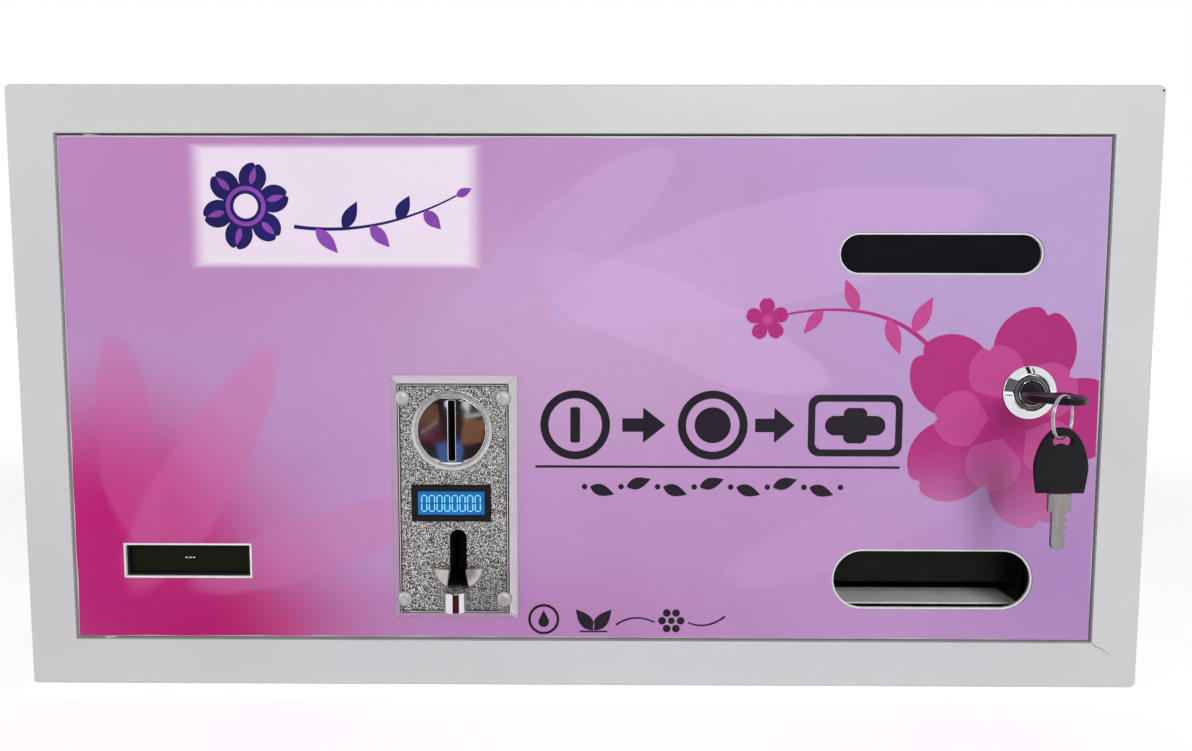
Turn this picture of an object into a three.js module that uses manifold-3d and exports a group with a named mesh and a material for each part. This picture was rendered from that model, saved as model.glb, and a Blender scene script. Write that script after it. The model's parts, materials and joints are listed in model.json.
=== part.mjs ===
// Wall-mounted sanitary napkin vending machine: a welded sheet-steel cabinet with a hinged, printed
// front door, a coin acceptor, a cam lock with its keys, and a spiral dispenser inside.
// Millimetres. +X is right and -Y is towards the user, as seen from the front, and +Z is up.
// The pieces are placed in cabinet coordinates, counted from the left end, the front frame's face
// and the underside. The origin of the whole is the centre of the back panel's rear face.
import * as THREE from "three";
import { mergeVertices } from "three/addons/utils/BufferGeometryUtils.js";
import Module from "manifold-3d";

// Sheet metal and fits
const sheet = 1.2;
const seatGap = 0.3;
const overrun = 2;
const weldDistance = 0.0001;

// Cabinet
const cabinetWidth = 600;
const cabinetHeight = 320;
const cabinetDepth = 200;
const frameWidth = 25;
const lipDepth = 12;
const rearFlangeWidth = 12;
const stopTabHeight = 20;
const stopTabReach = 11;
const stopTabInset = 40;
const keyholeSpacing = 300;
const keyholeInset = 50;
const keyholeHeadRadius = 4.5;
const keyholeNeckRadius = 2.3;
const keyholeNeckLength = 9;

// Door
const doorGap = 1.2;
const doorSetback = 1;
const doorFoldDepth = 13;
const vinylThickness = 0.4;
const vinylInset = 0.7;
const cutEdge = 1;
const hingeInset = 16;
const hingeSetBack = 5;
const hingePinRadius = 2;
const hingePinHeadRadius = 4;
const hingePinHeadHeight = 1.6;
const hingePinReach = 4;
const hingeBushRadius = 4.5;
const pivotClearance = 0.2;
const stiffenerWidth = 24;
const stiffenerDepth = 8;
const stiffenerFlange = 9;
const stiffenerEndGap = 8;

// Slots in the door, each by its centre, from the cabinet's right end and top, and its size
const windowSlotInset = 112.8;
const windowSlotDrop = 86.5;
const windowSlotWidth = 105.3;
const windowSlotHeight = 20.3;
const windowPlateMargin = 9;
const windowPlateThickness = 2.5;
const outletSlotInset = 112.2;
const outletSlotZ = 59.7;
const outletSlotWidth = 106;
const outletSlotHeight = 31.3;

// Text display behind the door
const textDisplayX = 87;
const textDisplayZ = 68.5;
const displayCutWidth = 67.4;
const displayCutHeight = 17.3;
const bezelWidth = 71.2;
const bezelHeight = 24.2;
const bezelDepth = 7;
const bezelViewWidth = 64.5;
const bezelViewHeight = 14.5;
const displayGlassThickness = 1;
const displayGlassSetback = 1.2;
const displayBoardWidth = 80;
const displayBoardHeight = 36;
const boardThickness = 1.6;
const boardStudRadius = 2.5;
const boardStudInset = 2.75;

// Coin acceptor, by the centre of its front plate
const acceptorX = 231.75;
const acceptorZ = 103.65;
const plateWidth = 66.7;
const plateHeight = 131.3;
const rimWidth = 4.4;
const rimRise = 5;
const panelSetback = 0.7;
const plateWall = 2.4;
const boltInsetX = 6.75;
const boltInsetZ = 11.75;
const boltHeadRadius = 4.1;
const boltHeadHeight = 2.2;
const boltShankRadius = 1.9;
const boltShankLength = 9.5;
const bossShiftX = 10.3;
const bossShiftZ = -51.2;
const bossRadius = 3;
const bossRise = 1.1;
const buttonShiftX = -0.5;
const buttonShiftZ = 36.9;
const buttonRadius = 18.2;
const buttonRingRadius = 21.3;
const buttonRingRise = 1.2;
const buttonProud = 1.6;
const buttonTravel = 4;
const buttonThickness = 5;
const coinSlotWidth = 3.6;
const coinSlotHeight = 32;
const statusShiftX = -1.35;
const statusShiftZ = -2.05;
const statusFrameWidth = 41.6;
const statusFrameHeight = 19.1;
const statusFrameRise = 1.1;
const statusFrameDepth = 4;
const statusLensWidth = 35.4;
const statusLensHeight = 12.6;
const statusLensSetback = 0.5;
const returnShiftX = 2.15;
const returnSlotWidth = 9.1;
const returnSlotTop = -16.2;
const returnSlotBottom = -47.4;
const returnFlareWidth = 12;
const returnFlareHeight = 9;
const cupRadius = 13.7;
const cupTop = -36.9;
const cupDepth = 4.6;
const cupWall = 1.4;
const cupSquashShare = 0.88;
const spoutShiftX = 0.4;
const spoutRadius = 6.45;
const spoutTop = -49.5;
const spoutBottom = -60.1;
const spoutWall = 1.6;

// Coin acceptor's body behind the door
const bodyWidth = 52;
const bodyTopShift = 60;
const bodyBottomShift = -51;
const bodyFront = 7;
const bodyBack = 58;
const bodyNeckWidth = 44;
const bodyNeckHeight = 112;
const springRadius = 4;
const springWireRadius = 0.5;
const springTurns = 4;
const springShiftX = 13;
const springPocketRadius = 5.2;
const springSeatDepth = 9;
const returnPocketDepth = 22;
const gateHeight = 62;
const gateDepth = 30;
const gateThickness = 2.4;
const gateRecess = 3.4;
const gateHingeShiftZ = 44;
const gatePinRadius = 1.2;
const gateBarrelRadius = 2.4;
const circuitWidth = 42;
const circuitHeight = 78;
const ribCount = 5;
const ribWidth = 2;
const ribRise = 1.5;

// Coin deflector under the body and the coin box on the floor
const deflectorWidth = 44;
const deflectorFrontY = 24;
const deflectorBackY = 72.5;
const deflectorDrop = 22;
const deflectorRise = 7;
const coinBoxX = 232;
const coinBoxWidth = 105;
const coinBoxFrontY = 74;
const coinBoxDepth = 86;
const coinBoxHeight = 60;
const coinBoxFrontHeight = 30;
const coinBoxGripWidth = 40;
const coinBoxGripHeight = 12;
const bracketWallHeight = 14;

// Cam lock and keys, by the lock's axis, from the cabinet's right end and its mid height
const lockInset = 64.5;
const lockRise = 1;
const lockFlangeRadius = 14;
const lockFlangeDepth = 3.6;
const lockRimRadius = 9.7;
const lockBarrelRadius = 10.5;
const lockBarrelLength = 14.6;
const lockNutAcross = 27;
const lockNutDepth = 5;
const plugHeadRadius = 9.2;
const plugHeadSetback = 0.9;
const plugShankRadius = 6.3;
const plugFaceRadius = 6.6;
const plugFaceRise = 0.8;
const plugTailRadius = 3.5;
const camLength = 45;
const camWidth = 16;
const camThickness = 2.5;
const camTipWidth = 12;
const camScrewRadius = 5;
const camScrewHeight = 2.4;
const camScrewShankRadius = 1.6;
const camScrewShankLength = 6;
const bowWidth = 25.6;
const bowLength = 31.7;
const bowThickness = 3.2;
const bowHoleWidth = 9;
const bowHoleHeight = 5;
const bowRim = 3.6;
const bowOutlineShares = [
  [0.44, 0],
  [0.5, 0.34],
  [0.475, 0.55],
  [0.385, 0.76],
  [0.27, 0.9],
  [0.15, 0.98],
  [0.05, 1],
];
const bladeShoulderWidth = 11;
const bladeShoulderLength = 9;
const bladeWidth = 7;
const bladeLength = 28;
const bladeThickness = 2;
const bladeToothDepth = 1.3;
const bladeToothCount = 4;
const keyOutreach = 16;
const keyRingRadius = 10.6;
const keyRingWireRadius = 0.9;
const keyRingTurnShare = 40 / 180;
const keyRingReach = 6.95;
const rimReach = 3.7;

// Spiral dispenser
const spiralAxisY = 100;
const spiralAxisZ = 223;
const spiralStartX = 112;
const spiralPitch = 30;
const spiralTurns = 12;
const spiralRadius = 35;
const spiralWireRadius = 2;
const spiralLeadX = 99;
const spiralLeadTurns = 0.75;
const spiralStepsPerTurn = 24;
const trayStartX = 98;
const trayClearance = 3.5;
const trayHalfWidth = 48;
const trayWallHeight = 32;
const trayBracketReachShare = 0.72;
const trayBracketDrop = 60;
const trayBracketWidth = 14;
const trayBracketInset = 74;
const motorFootLength = 34;
const motorPlateThickness = 2;
const motorPlateHeight = 62;
const motorPlateHalfWidth = 30;
const gearboxRadius = 18.5;
const gearboxLength = 26;
const gearboxBossRadius = 6;
const motorCanRadius = 17.8;
const motorCanLength = 31;
const motorCapRadius = 6.5;
const motorCapLength = 2.5;
const motorShaftRadius = 3;
const motorShaftLength = 14;
const couplerRadius = 8;
const couplerLength = 16;

// Delivery chute behind the outlet slot
const chuteHalfWidth = 57;
const landingZ = 40;
const landingFrontY = 19;
const landingBackY = 60;
const chuteBackY = 150;
const chuteSlopeTopZ = 165;
const chuteTopZ = 177;
const chuteMouthZ = 90;
const chuteMouthY = 37;
const chuteFootWidth = 12;
const flapAxisY = 23.5;
const flapAxisZ = 82.5;
const flapRodRadius = 1.5;
const flapBarrelRadius = 3.2;
const flapLength = 31;
const flapSideGap = 1;

// Electronics
const supplyX = 30;
const supplyY = 62;
const supplyWidth = 110;
const supplyDepth = 80;
const supplyHeight = 36;
const supplyEndLength = 18;
const supplyEndHeight = 14;
const supplyVentCount = 8;
const supplyVentWidth = 3;
const supplyVentLength = 40;
const supplyVentDepth = 2;
const terminalHeight = 12;
const terminalCount = 6;
const terminalNotch = 1;
const controllerX = 42;
const controllerZ = 76;
const controllerWidth = 120;
const controllerHeight = 86;
const controllerSpacer = 9;
const controllerPostRadius = 3;
const controllerPostInset = 6;
const relayWidth = 19;
const relayHeight = 15.5;
const relayDepth = 15;
const capacitorRadius = 5;
const capacitorLength = 20;
const chipWidth = 9;
const chipHeight = 35;
const chipDepth = 4;
const grommetInset = 28;
const grommetZ = 44;
const grommetNeckRadius = 7;
const grommetFlangeRadius = 9.5;
const grommetFlangeThickness = 2.2;
const grommetBoreRadius = 4;

// Facets
const fineSides = 32;
const plainSides = 20;
const smallSides = 12;
const arcSteps = 8;

// Worked out from the sizes above
const half = 0.5;
const quarterTurn = Math.PI * half;
const fullTurn = Math.PI * 2;
const doorLeft = frameWidth + doorGap;
const doorRight = cabinetWidth - doorLeft;
const doorBottom = frameWidth + doorGap;
const doorTop = cabinetHeight - doorBottom;
const doorFace = doorSetback;
const doorBack = doorFace + sheet;
const doorRear = doorFace + sheet + doorFoldDepth - sheet;
const vinylBack = doorFace - seatGap;
const vinylFace = vinylBack - vinylThickness;
const mountFace = vinylFace - seatGap;
const insideDoor = doorBack + seatGap;
const hingeX = doorLeft + hingeInset;
const hingeY = doorFace + hingeSetBack;
const shellDepth = cabinetDepth - sheet - seatGap;
const panelInner = shellDepth - sheet;
const floorTop = sheet;
const windowSlotX = cabinetWidth - windowSlotInset;
const windowSlotZ = cabinetHeight - windowSlotDrop;
const outletSlotX = cabinetWidth - outletSlotInset;
const lockX = cabinetWidth - lockInset;
const lockZ = cabinetHeight * half + lockRise;
const grommetY = cabinetDepth - grommetInset;
const boltSpreadX = plateWidth * half - boltInsetX;
const boltSpreadZ = plateHeight * half - boltInsetZ;
const windowPlateSpan = windowSlotWidth * half + windowPlateMargin;
const stiffenerX = (acceptorX + plateWidth * half + windowSlotX - windowPlateSpan) * half;

const wasm = await Module();
wasm.setup();

const paint = new THREE.MeshStandardMaterial({ color: 0xcdcdcf, roughness: 0.45, metalness: 0.1 });
const print = new THREE.MeshStandardMaterial({ color: 0xc393c6, roughness: 0.35, metalness: 0 });
const galvanised = new THREE.MeshStandardMaterial({ color: 0xa9acb0, roughness: 0.5, metalness: 0.8 });
const zinc = new THREE.MeshStandardMaterial({ color: 0xc5c1be, roughness: 0.4, metalness: 0.85 });
const chrome = new THREE.MeshStandardMaterial({ color: 0xd8d8da, roughness: 0.08, metalness: 1 });
const steel = new THREE.MeshStandardMaterial({ color: 0x9b9b9d, roughness: 0.35, metalness: 0.9 });
const smoked = new THREE.MeshStandardMaterial({ color: 0x1e1d25, roughness: 0.1, metalness: 0 });
const blackPlastic = new THREE.MeshStandardMaterial({ color: 0x201f24, roughness: 0.55, metalness: 0 });
const blueLit = new THREE.MeshStandardMaterial({ color: 0x2f86d6, roughness: 0.2, metalness: 0 });
const greenBoard = new THREE.MeshStandardMaterial({ color: 0x1f6b3a, roughness: 0.5, metalness: 0 });
const bluePlastic = new THREE.MeshStandardMaterial({ color: 0x2457a8, roughness: 0.45, metalness: 0 });
const rubber = new THREE.MeshStandardMaterial({ color: 0x1b1b1d, roughness: 0.8, metalness: 0 });
const nylon = new THREE.MeshStandardMaterial({ color: 0xe8e6df, roughness: 0.6, metalness: 0 });

// A closed solid made from a geometry, with its faces turned outwards
function solidOf(geometry) {
  const bare = geometry.clone();
  for (const attribute of ["normal", "uv"]) {
    bare.deleteAttribute(attribute);
  }
  const merged = mergeVertices(bare, weldDistance);
  const places = merged.attributes.position.array;
  const corners = merged.index.array;
  const kept = [];
  let volume = 0;
  for (let i = 0; i < corners.length; i += 3) {
    const [a, b, c] = corners.slice(i, i + 3);
    if (a !== b && b !== c && c !== a) {
      kept.push(a, b, c);
      const [p, q, r] = [a, b, c].map((v) => new THREE.Vector3().fromArray(places, v * 3));
      volume += p.dot(q.cross(r));
    }
  }
  if (volume < 0) {
    kept.reverse();
  }
  const mesh = new wasm.Mesh({
    numProp: 3,
    vertProperties: new Float32Array(places),
    triVerts: new Uint32Array(kept),
  });
  return new wasm.Manifold(mesh);
}

function geometryOf(solid) {
  const mesh = solid.getMesh();
  const geometry = new THREE.BufferGeometry();
  geometry.setAttribute("position", new THREE.BufferAttribute(mesh.vertProperties, 3));
  geometry.setIndex(new THREE.BufferAttribute(mesh.triVerts, 1));
  geometry.computeVertexNormals();
  return geometry;
}

function joined(solids) {
  return solids.reduce((whole, next) => whole.add(next));
}

function cut(solid, tools) {
  return tools.reduce((rest, tool) => rest.subtract(tool), solid);
}

function block(x0, x1, y0, y1, z0, z1) {
  const geometry = new THREE.BoxGeometry(x1 - x0, y1 - y0, z1 - z0);
  geometry.translate((x0 + x1) * half, (y0 + y1) * half, (z0 + z1) * half);
  return solidOf(geometry);
}

const axisX = new THREE.Vector3(1, 0, 0);
const axisY = new THREE.Vector3(0, 1, 0);
const axisZ = new THREE.Vector3(0, 0, 1);

// An outline drawn across two axes and carried along the third
function prism(outline, from, to, across, up) {
  const geometry = new THREE.ExtrudeGeometry(outline, {
    depth: to - from,
    steps: 1,
    bevelEnabled: false,
    curveSegments: arcSteps,
  });
  geometry.translate(0, 0, from);
  const along = new THREE.Vector3().crossVectors(across, up);
  const flip = along.dot(new THREE.Vector3(1, 1, 1)) < 0;
  geometry.applyMatrix4(new THREE.Matrix4().makeBasis(across, up, flip ? along.negate() : along));
  return solidOf(geometry);
}

// Outline in X and Z, carried along Y
function prismY(outline, y0, y1) {
  return prism(outline, y0, y1, axisX, axisZ);
}

// Outline in Y and Z, carried along X
function prismX(outline, x0, x1) {
  return prism(outline, x0, x1, axisY, axisZ);
}

// Outline in X and Y, carried along Z
function prismZ(outline, z0, z1) {
  return prism(outline, z0, z1, axisX, axisY);
}

function outlineOf(points) {
  return new THREE.Shape(points.map(([u, v]) => new THREE.Vector2(u, v)));
}

function rectangle(u0, u1, v0, v1) {
  return outlineOf([
    [u0, v0],
    [u1, v0],
    [u1, v1],
    [u0, v1],
  ]);
}

function arcPoints(u, v, radius, start, end, steps) {
  return Array.from({ length: steps + 1 }, (_, i) => {
    const angle = start + ((end - start) * i) / steps;
    return [u + radius * Math.cos(angle), v + radius * Math.sin(angle)];
  });
}

function circle(u, v, radius, sides) {
  return outlineOf(arcPoints(u, v, radius, 0, fullTurn, sides).slice(1));
}

// A slot with round ends, wider than it is high
function roundEnded(u, v, width, height) {
  const radius = height * half;
  const reach = width * half - radius;
  return outlineOf([
    ...arcPoints(u + reach, v, radius, -quarterTurn, quarterTurn, arcSteps),
    ...arcPoints(u - reach, v, radius, quarterTurn, quarterTurn + Math.PI, arcSteps),
  ]);
}

// A turned solid: pairs of radius and place along the axis
function turned(profile, sides, axis) {
  const points = profile.map(([radius, place]) => new THREE.Vector2(radius, place));
  const geometry = new THREE.LatheGeometry(points, sides);
  geometry.applyQuaternion(new THREE.Quaternion().setFromUnitVectors(axisY, axis));
  return solidOf(geometry);
}

function rod(radius, from, to, sides, axis) {
  const profile = [
    [0, from],
    [radius, from],
    [radius, to],
    [0, to],
  ];
  return turned(profile, sides, axis);
}

function moved(solid, x, y, z) {
  return solidOf(geometryOf(solid).translate(x, y, z));
}

// A block whose front face is smaller than its back face
function bevelledBlock(halfX, halfZ, backY, frontY, bevel) {
  const corners = [];
  for (const [x, z, y] of [
    [halfX, halfZ, backY],
    [halfX - bevel, halfZ - bevel, frontY],
  ]) {
    corners.push([-x, y, -z], [x, y, -z], [x, y, z], [-x, y, z]);
  }
  const sides = [0, 1, 2, 3].flatMap((i) => {
    const j = (i + 1) % 4;
    return [i, j, j + 4, i, j + 4, i + 4];
  });
  const geometry = new THREE.BufferGeometry();
  geometry.setAttribute("position", new THREE.BufferAttribute(new Float32Array(corners.flat()), 3));
  geometry.setIndex([...sides, 0, 2, 1, 0, 3, 2, 4, 5, 6, 4, 6, 7]);
  return solidOf(geometry);
}

function piece(name, solid, material, parent) {
  const mesh = new THREE.Mesh(geometryOf(solid), material);
  mesh.name = name;
  parent.add(mesh);
  return mesh;
}

// A round tube along a curve, with its least gap to itself measured between its turns
function woundTube(name, curve, steps, wireRadius, sides, turnSteps) {
  const outline = circle(0, 0, wireRadius, sides);
  const geometry = new THREE.ExtrudeGeometry(outline, { steps, bevelEnabled: false, extrudePath: curve });
  const points = curve.getSpacedPoints(steps);
  let least = Infinity;
  points.forEach((point, i) => {
    for (let j = i + Math.round(turnSteps * half); j < points.length; j += 1) {
      least = Math.min(least, point.distanceTo(points[j]));
    }
  });
  console.log(`${name}: least gap between turns ${(least - wireRadius * 2).toFixed(2)} mm`);
  return solidOf(geometry);
}

function buildShell(parent) {
  const right = cabinetWidth - sheet;
  const top = cabinetHeight - sheet;
  const opening = [frameWidth, cabinetWidth - frameWidth];
  const openingTop = cabinetHeight - frameWidth;
  const rearRight = cabinetWidth - rearFlangeWidth;
  const rearTop = cabinetHeight - rearFlangeWidth;
  const walls = cut(block(0, cabinetWidth, 0, shellDepth, 0, cabinetHeight), [
    block(sheet, right, sheet, panelInner, sheet, top),
    block(rearFlangeWidth, rearRight, sheet, shellDepth + overrun, rearFlangeWidth, rearTop),
  ]);
  const lip = block(
    opening[0] - sheet,
    opening[1] + sheet,
    sheet * half,
    lipDepth,
    frameWidth - sheet,
    openingTop + sheet,
  );
  const frontCut = block(opening[0], opening[1], -overrun, lipDepth + overrun, frameWidth, openingTop);
  const stopFace = doorRear + seatGap;
  const tabs = [stopTabInset + frameWidth, openingTop - stopTabInset - stopTabHeight].map((z) =>
    joined([
      block(opening[1], opening[1] + sheet, lipDepth - sheet, stopFace + sheet, z, z + stopTabHeight),
      block(opening[1] - stopTabReach, opening[1] + sheet, stopFace, stopFace + sheet, z, z + stopTabHeight),
    ]),
  );
  const pinHole = circle(hingeX, hingeY, hingePinRadius + pivotClearance, smallSides);
  const pinHoles = [
    prismZ(pinHole, frameWidth - sheet - overrun, frameWidth + overrun),
    prismZ(pinHole, openingTop - overrun, openingTop + sheet + overrun),
  ];
  const grommetHole = circle(grommetY, grommetZ, grommetNeckRadius + seatGap, smallSides);
  const wireHole = prismX(grommetHole, -overrun, sheet + overrun);
  const shell = cut(joined([walls, lip]).subtract(frontCut), [...pinHoles, wireHole]);
  piece("cabinet_shell", joined([shell, ...tabs]), paint, parent);
}

function keyhole(x, z) {
  const open = quarterTurn * half;
  const head = arcPoints(x, z, keyholeHeadRadius, Math.PI - open, fullTurn + open, arcSteps);
  const neck = arcPoints(x, z + keyholeNeckLength, keyholeNeckRadius, 0, Math.PI, arcSteps);
  return outlineOf([...head, ...neck]);
}

function buildBackPanel(parent) {
  const plate = block(0, cabinetWidth, cabinetDepth - sheet, cabinetDepth, 0, cabinetHeight);
  const middle = cabinetWidth * half;
  const spread = keyholeSpacing * half;
  const holes = [middle - spread, middle + spread].flatMap((x) => [
    prismY(keyhole(x, cabinetHeight - keyholeInset), panelInner, cabinetDepth + overrun),
    prismY(circle(x, keyholeInset, keyholeNeckRadius, smallSides), panelInner, cabinetDepth + overrun),
  ]);
  const controllerRight = controllerX + controllerWidth;
  const postColumns = [controllerX + controllerPostInset, controllerRight - controllerPostInset];
  const posts = postColumns.flatMap((x) =>
    [controllerZ + controllerPostInset, controllerZ + controllerHeight - controllerPostInset].map((z) =>
      prismY(
        circle(x, z, controllerPostRadius, smallSides),
        cabinetDepth - sheet - controllerSpacer,
        cabinetDepth - sheet * half,
      ),
    ),
  );
  piece("back_panel", joined([cut(plate, holes), ...posts]), paint, parent);
}

function buildHinges(parent) {
  const openingTop = cabinetHeight - frameWidth;
  const ends = [
    { name: "bottom", side: 1, lipOuter: frameWidth - sheet, lipInner: frameWidth },
    { name: "top", side: -1, lipOuter: openingTop + sheet, lipInner: openingTop },
  ];
  for (const { name, side, lipOuter, lipInner } of ends) {
    const headSeat = lipOuter - side * seatGap;
    const tip = lipInner + side * (doorGap + sheet + hingePinReach);
    const profile = [
      [0, headSeat - side * hingePinHeadHeight],
      [hingePinHeadRadius, headSeat - side * hingePinHeadHeight],
      [hingePinHeadRadius, headSeat],
      [hingePinRadius, headSeat],
      [hingePinRadius, tip],
      [0, tip],
    ];
    const pin = piece(`hinge_pin_${name}`, turned(profile, smallSides, axisZ), steel, parent);
    pin.position.set(hingeX, hingeY, 0);
    const bushFrom = lipInner + side * seatGap;
    const bushTo = lipInner + side * (doorGap - seatGap);
    const bore = hingePinRadius + pivotClearance;
    const bushProfile = [
      [bore, bushFrom],
      [hingeBushRadius, bushFrom],
      [hingeBushRadius, bushTo],
      [bore, bushTo],
      [bore, bushFrom],
    ];
    const bush = piece(`hinge_bush_${name}`, turned(bushProfile, smallSides, axisZ), nylon, parent);
    bush.position.set(hingeX, hingeY, 0);
  }
}

function buildGrommet(parent) {
  const inner = sheet + seatGap;
  const profile = [
    [grommetBoreRadius, -seatGap - grommetFlangeThickness],
    [grommetFlangeRadius, -seatGap - grommetFlangeThickness * half],
    [grommetFlangeRadius, -seatGap],
    [grommetNeckRadius, -seatGap],
    [grommetNeckRadius, inner],
    [grommetFlangeRadius, inner],
    [grommetFlangeRadius, inner + grommetFlangeThickness * half],
    [grommetBoreRadius, inner + grommetFlangeThickness],
    [grommetBoreRadius, -seatGap - grommetFlangeThickness],
  ];
  const grommet = piece("cord_grommet", turned(profile, smallSides, axisX), rubber, parent);
  grommet.position.set(0, grommetY, grommetZ);
}

function buildTray(parent) {
  const floorZ = spiralAxisZ - spiralRadius - spiralWireRadius - trayClearance;
  const left = trayStartX;
  const right = spiralStartX + spiralPitch * spiralTurns;
  const front = spiralAxisY - trayHalfWidth;
  const back = spiralAxisY + trayHalfWidth;
  const wallTop = floorZ + trayWallHeight;
  const tray = block(left, right, front, back, floorZ - sheet, wallTop).subtract(
    block(left - overrun, right + overrun, front + sheet, back - sheet, floorZ, wallTop + overrun),
  );
  piece("spiral_tray", tray, galvanised, parent);
  const under = floorZ - sheet - seatGap;
  const reach = front + (back - front) * (1 - trayBracketReachShare);
  const panelFace = cabinetDepth - sheet - seatGap;
  const web = outlineOf([
    [reach, under - sheet * half],
    [panelFace - sheet * half, under - sheet * half],
    [panelFace - sheet * half, under - trayBracketDrop],
    [panelFace - trayBracketWidth, under - trayBracketDrop],
    [reach, under - trayBracketWidth * half],
  ]);
  const places = { left: left + trayBracketInset, right: right - trayBracketInset - trayBracketWidth };
  for (const [name, x] of Object.entries(places)) {
    const bracket = joined([
      prismX(web, x, x + sheet),
      block(x, x + trayBracketWidth, reach, panelFace, under - sheet, under),
      block(x, x + trayBracketWidth, panelFace - sheet, panelFace, under - trayBracketDrop, under),
    ]);
    piece(`tray_bracket_${name}`, bracket, galvanised, parent);
  }
}

// The wire leaves the coupler on the axis, winds out to its full radius and runs on as a helix
class SpiralCurve extends THREE.Curve {
  constructor(lead, start, pitch, turns, leadTurns, radius) {
    super();
    Object.assign(this, { lead, start, pitch, turns, leadTurns, radius });
  }

  getPoint(share) {
    const turnsAll = this.turns + this.leadTurns;
    const turn = share * turnsAll;
    const opened = Math.min(turn / this.leadTurns, 1);
    const eased = opened * opened * (3 - 2 * opened);
    const along =
      turn < this.leadTurns
        ? this.lead + (this.start - this.lead) * opened
        : this.start + (turn - this.leadTurns) * this.pitch;
    const angle = turn * fullTurn;
    const radius = this.radius * eased;
    return new THREE.Vector3(along, radius * Math.cos(angle), radius * Math.sin(angle));
  }
}

function buildSpiral(cabinetGroup) {
  const spiral = new THREE.Group();
  spiral.position.set(0, spiralAxisY, spiralAxisZ);
  cabinetGroup.add(spiral);
  const curve = new SpiralCurve(
    spiralLeadX + couplerLength,
    spiralStartX + couplerLength * half,
    (spiralTurns * spiralPitch - couplerLength) / spiralTurns,
    spiralTurns,
    spiralLeadTurns,
    spiralRadius,
  );
  const steps = Math.round((spiralTurns + spiralLeadTurns) * spiralStepsPerTurn);
  const coil = woundTube("spiral_coil", curve, steps, spiralWireRadius, 6, spiralStepsPerTurn);
  piece("spiral_coil", coil, steel, spiral);

  const hubStart = spiralLeadX + seatGap;
  const hubEnd = hubStart + couplerLength - seatGap * 2;
  const bore = motorShaftRadius + seatGap;
  const bored = motorShaftLength * half;
  const hub = turned(
    [
      [bore, hubStart],
      [couplerRadius, hubStart],
      [couplerRadius, hubEnd],
      [0, hubEnd],
      [0, hubStart + bored],
      [bore, hubStart + bored],
      [bore, hubStart],
    ],
    plainSides,
    axisX,
  );
  piece("spiral_coupler", hub, blackPlastic, spiral);
  const shaftEnd = hubStart + bored - seatGap;
  const shaft = rod(motorShaftRadius, shaftEnd - motorShaftLength, shaftEnd, smallSides, axisX);
  piece("motor_shaft", shaft, steel, spiral);
  return spiral;
}

function buildMotor(parent) {
  const floorZ = spiralAxisZ - spiralRadius - spiralWireRadius - trayClearance;
  const plateFace = trayStartX - seatGap;
  const plateBack = plateFace - motorPlateThickness;
  const front = spiralAxisY - motorPlateHalfWidth;
  const back = spiralAxisY + motorPlateHalfWidth;
  const bossHole = circle(spiralAxisY, spiralAxisZ, gearboxBossRadius + seatGap, plainSides);
  const under = floorZ - sheet - seatGap;
  const bracket = joined([
    block(plateBack, plateFace, front, back, under - motorPlateThickness, under + motorPlateHeight),
    block(plateBack, plateFace + motorFootLength, front, back, under - motorPlateThickness, under),
  ]).subtract(prismX(bossHole, plateBack - overrun, plateFace + overrun));
  piece("motor_bracket", bracket, galvanised, parent);

  const motor = new THREE.Group();
  motor.position.set(plateBack - seatGap, spiralAxisY, spiralAxisZ);
  parent.add(motor);
  const bore = motorShaftRadius + pivotClearance;
  const boreDepth = motorShaftLength * half;
  const gearbox = turned(
    [
      [0, -gearboxLength],
      [gearboxRadius - sheet, -gearboxLength],
      [gearboxRadius, sheet - gearboxLength],
      [gearboxRadius, 0],
      [gearboxBossRadius, 0],
      [gearboxBossRadius, seatGap + motorPlateThickness],
      [bore, seatGap + motorPlateThickness],
      [bore, -boreDepth],
      [0, -boreDepth],
    ],
    fineSides,
    axisX,
  );
  piece("gearbox_housing", gearbox, steel, motor);
  const canEnd = -gearboxLength - seatGap;
  const can = turned(
    [
      [0, canEnd - motorCanLength - motorCapLength],
      [motorCapRadius, canEnd - motorCanLength - motorCapLength],
      [motorCapRadius, canEnd - motorCanLength],
      [motorCanRadius - sheet, canEnd - motorCanLength],
      [motorCanRadius, canEnd - motorCanLength + sheet],
      [motorCanRadius, canEnd],
      [0, canEnd],
    ],
    fineSides,
    axisX,
  );
  piece("motor_can", can, galvanised, motor);
}

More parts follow.
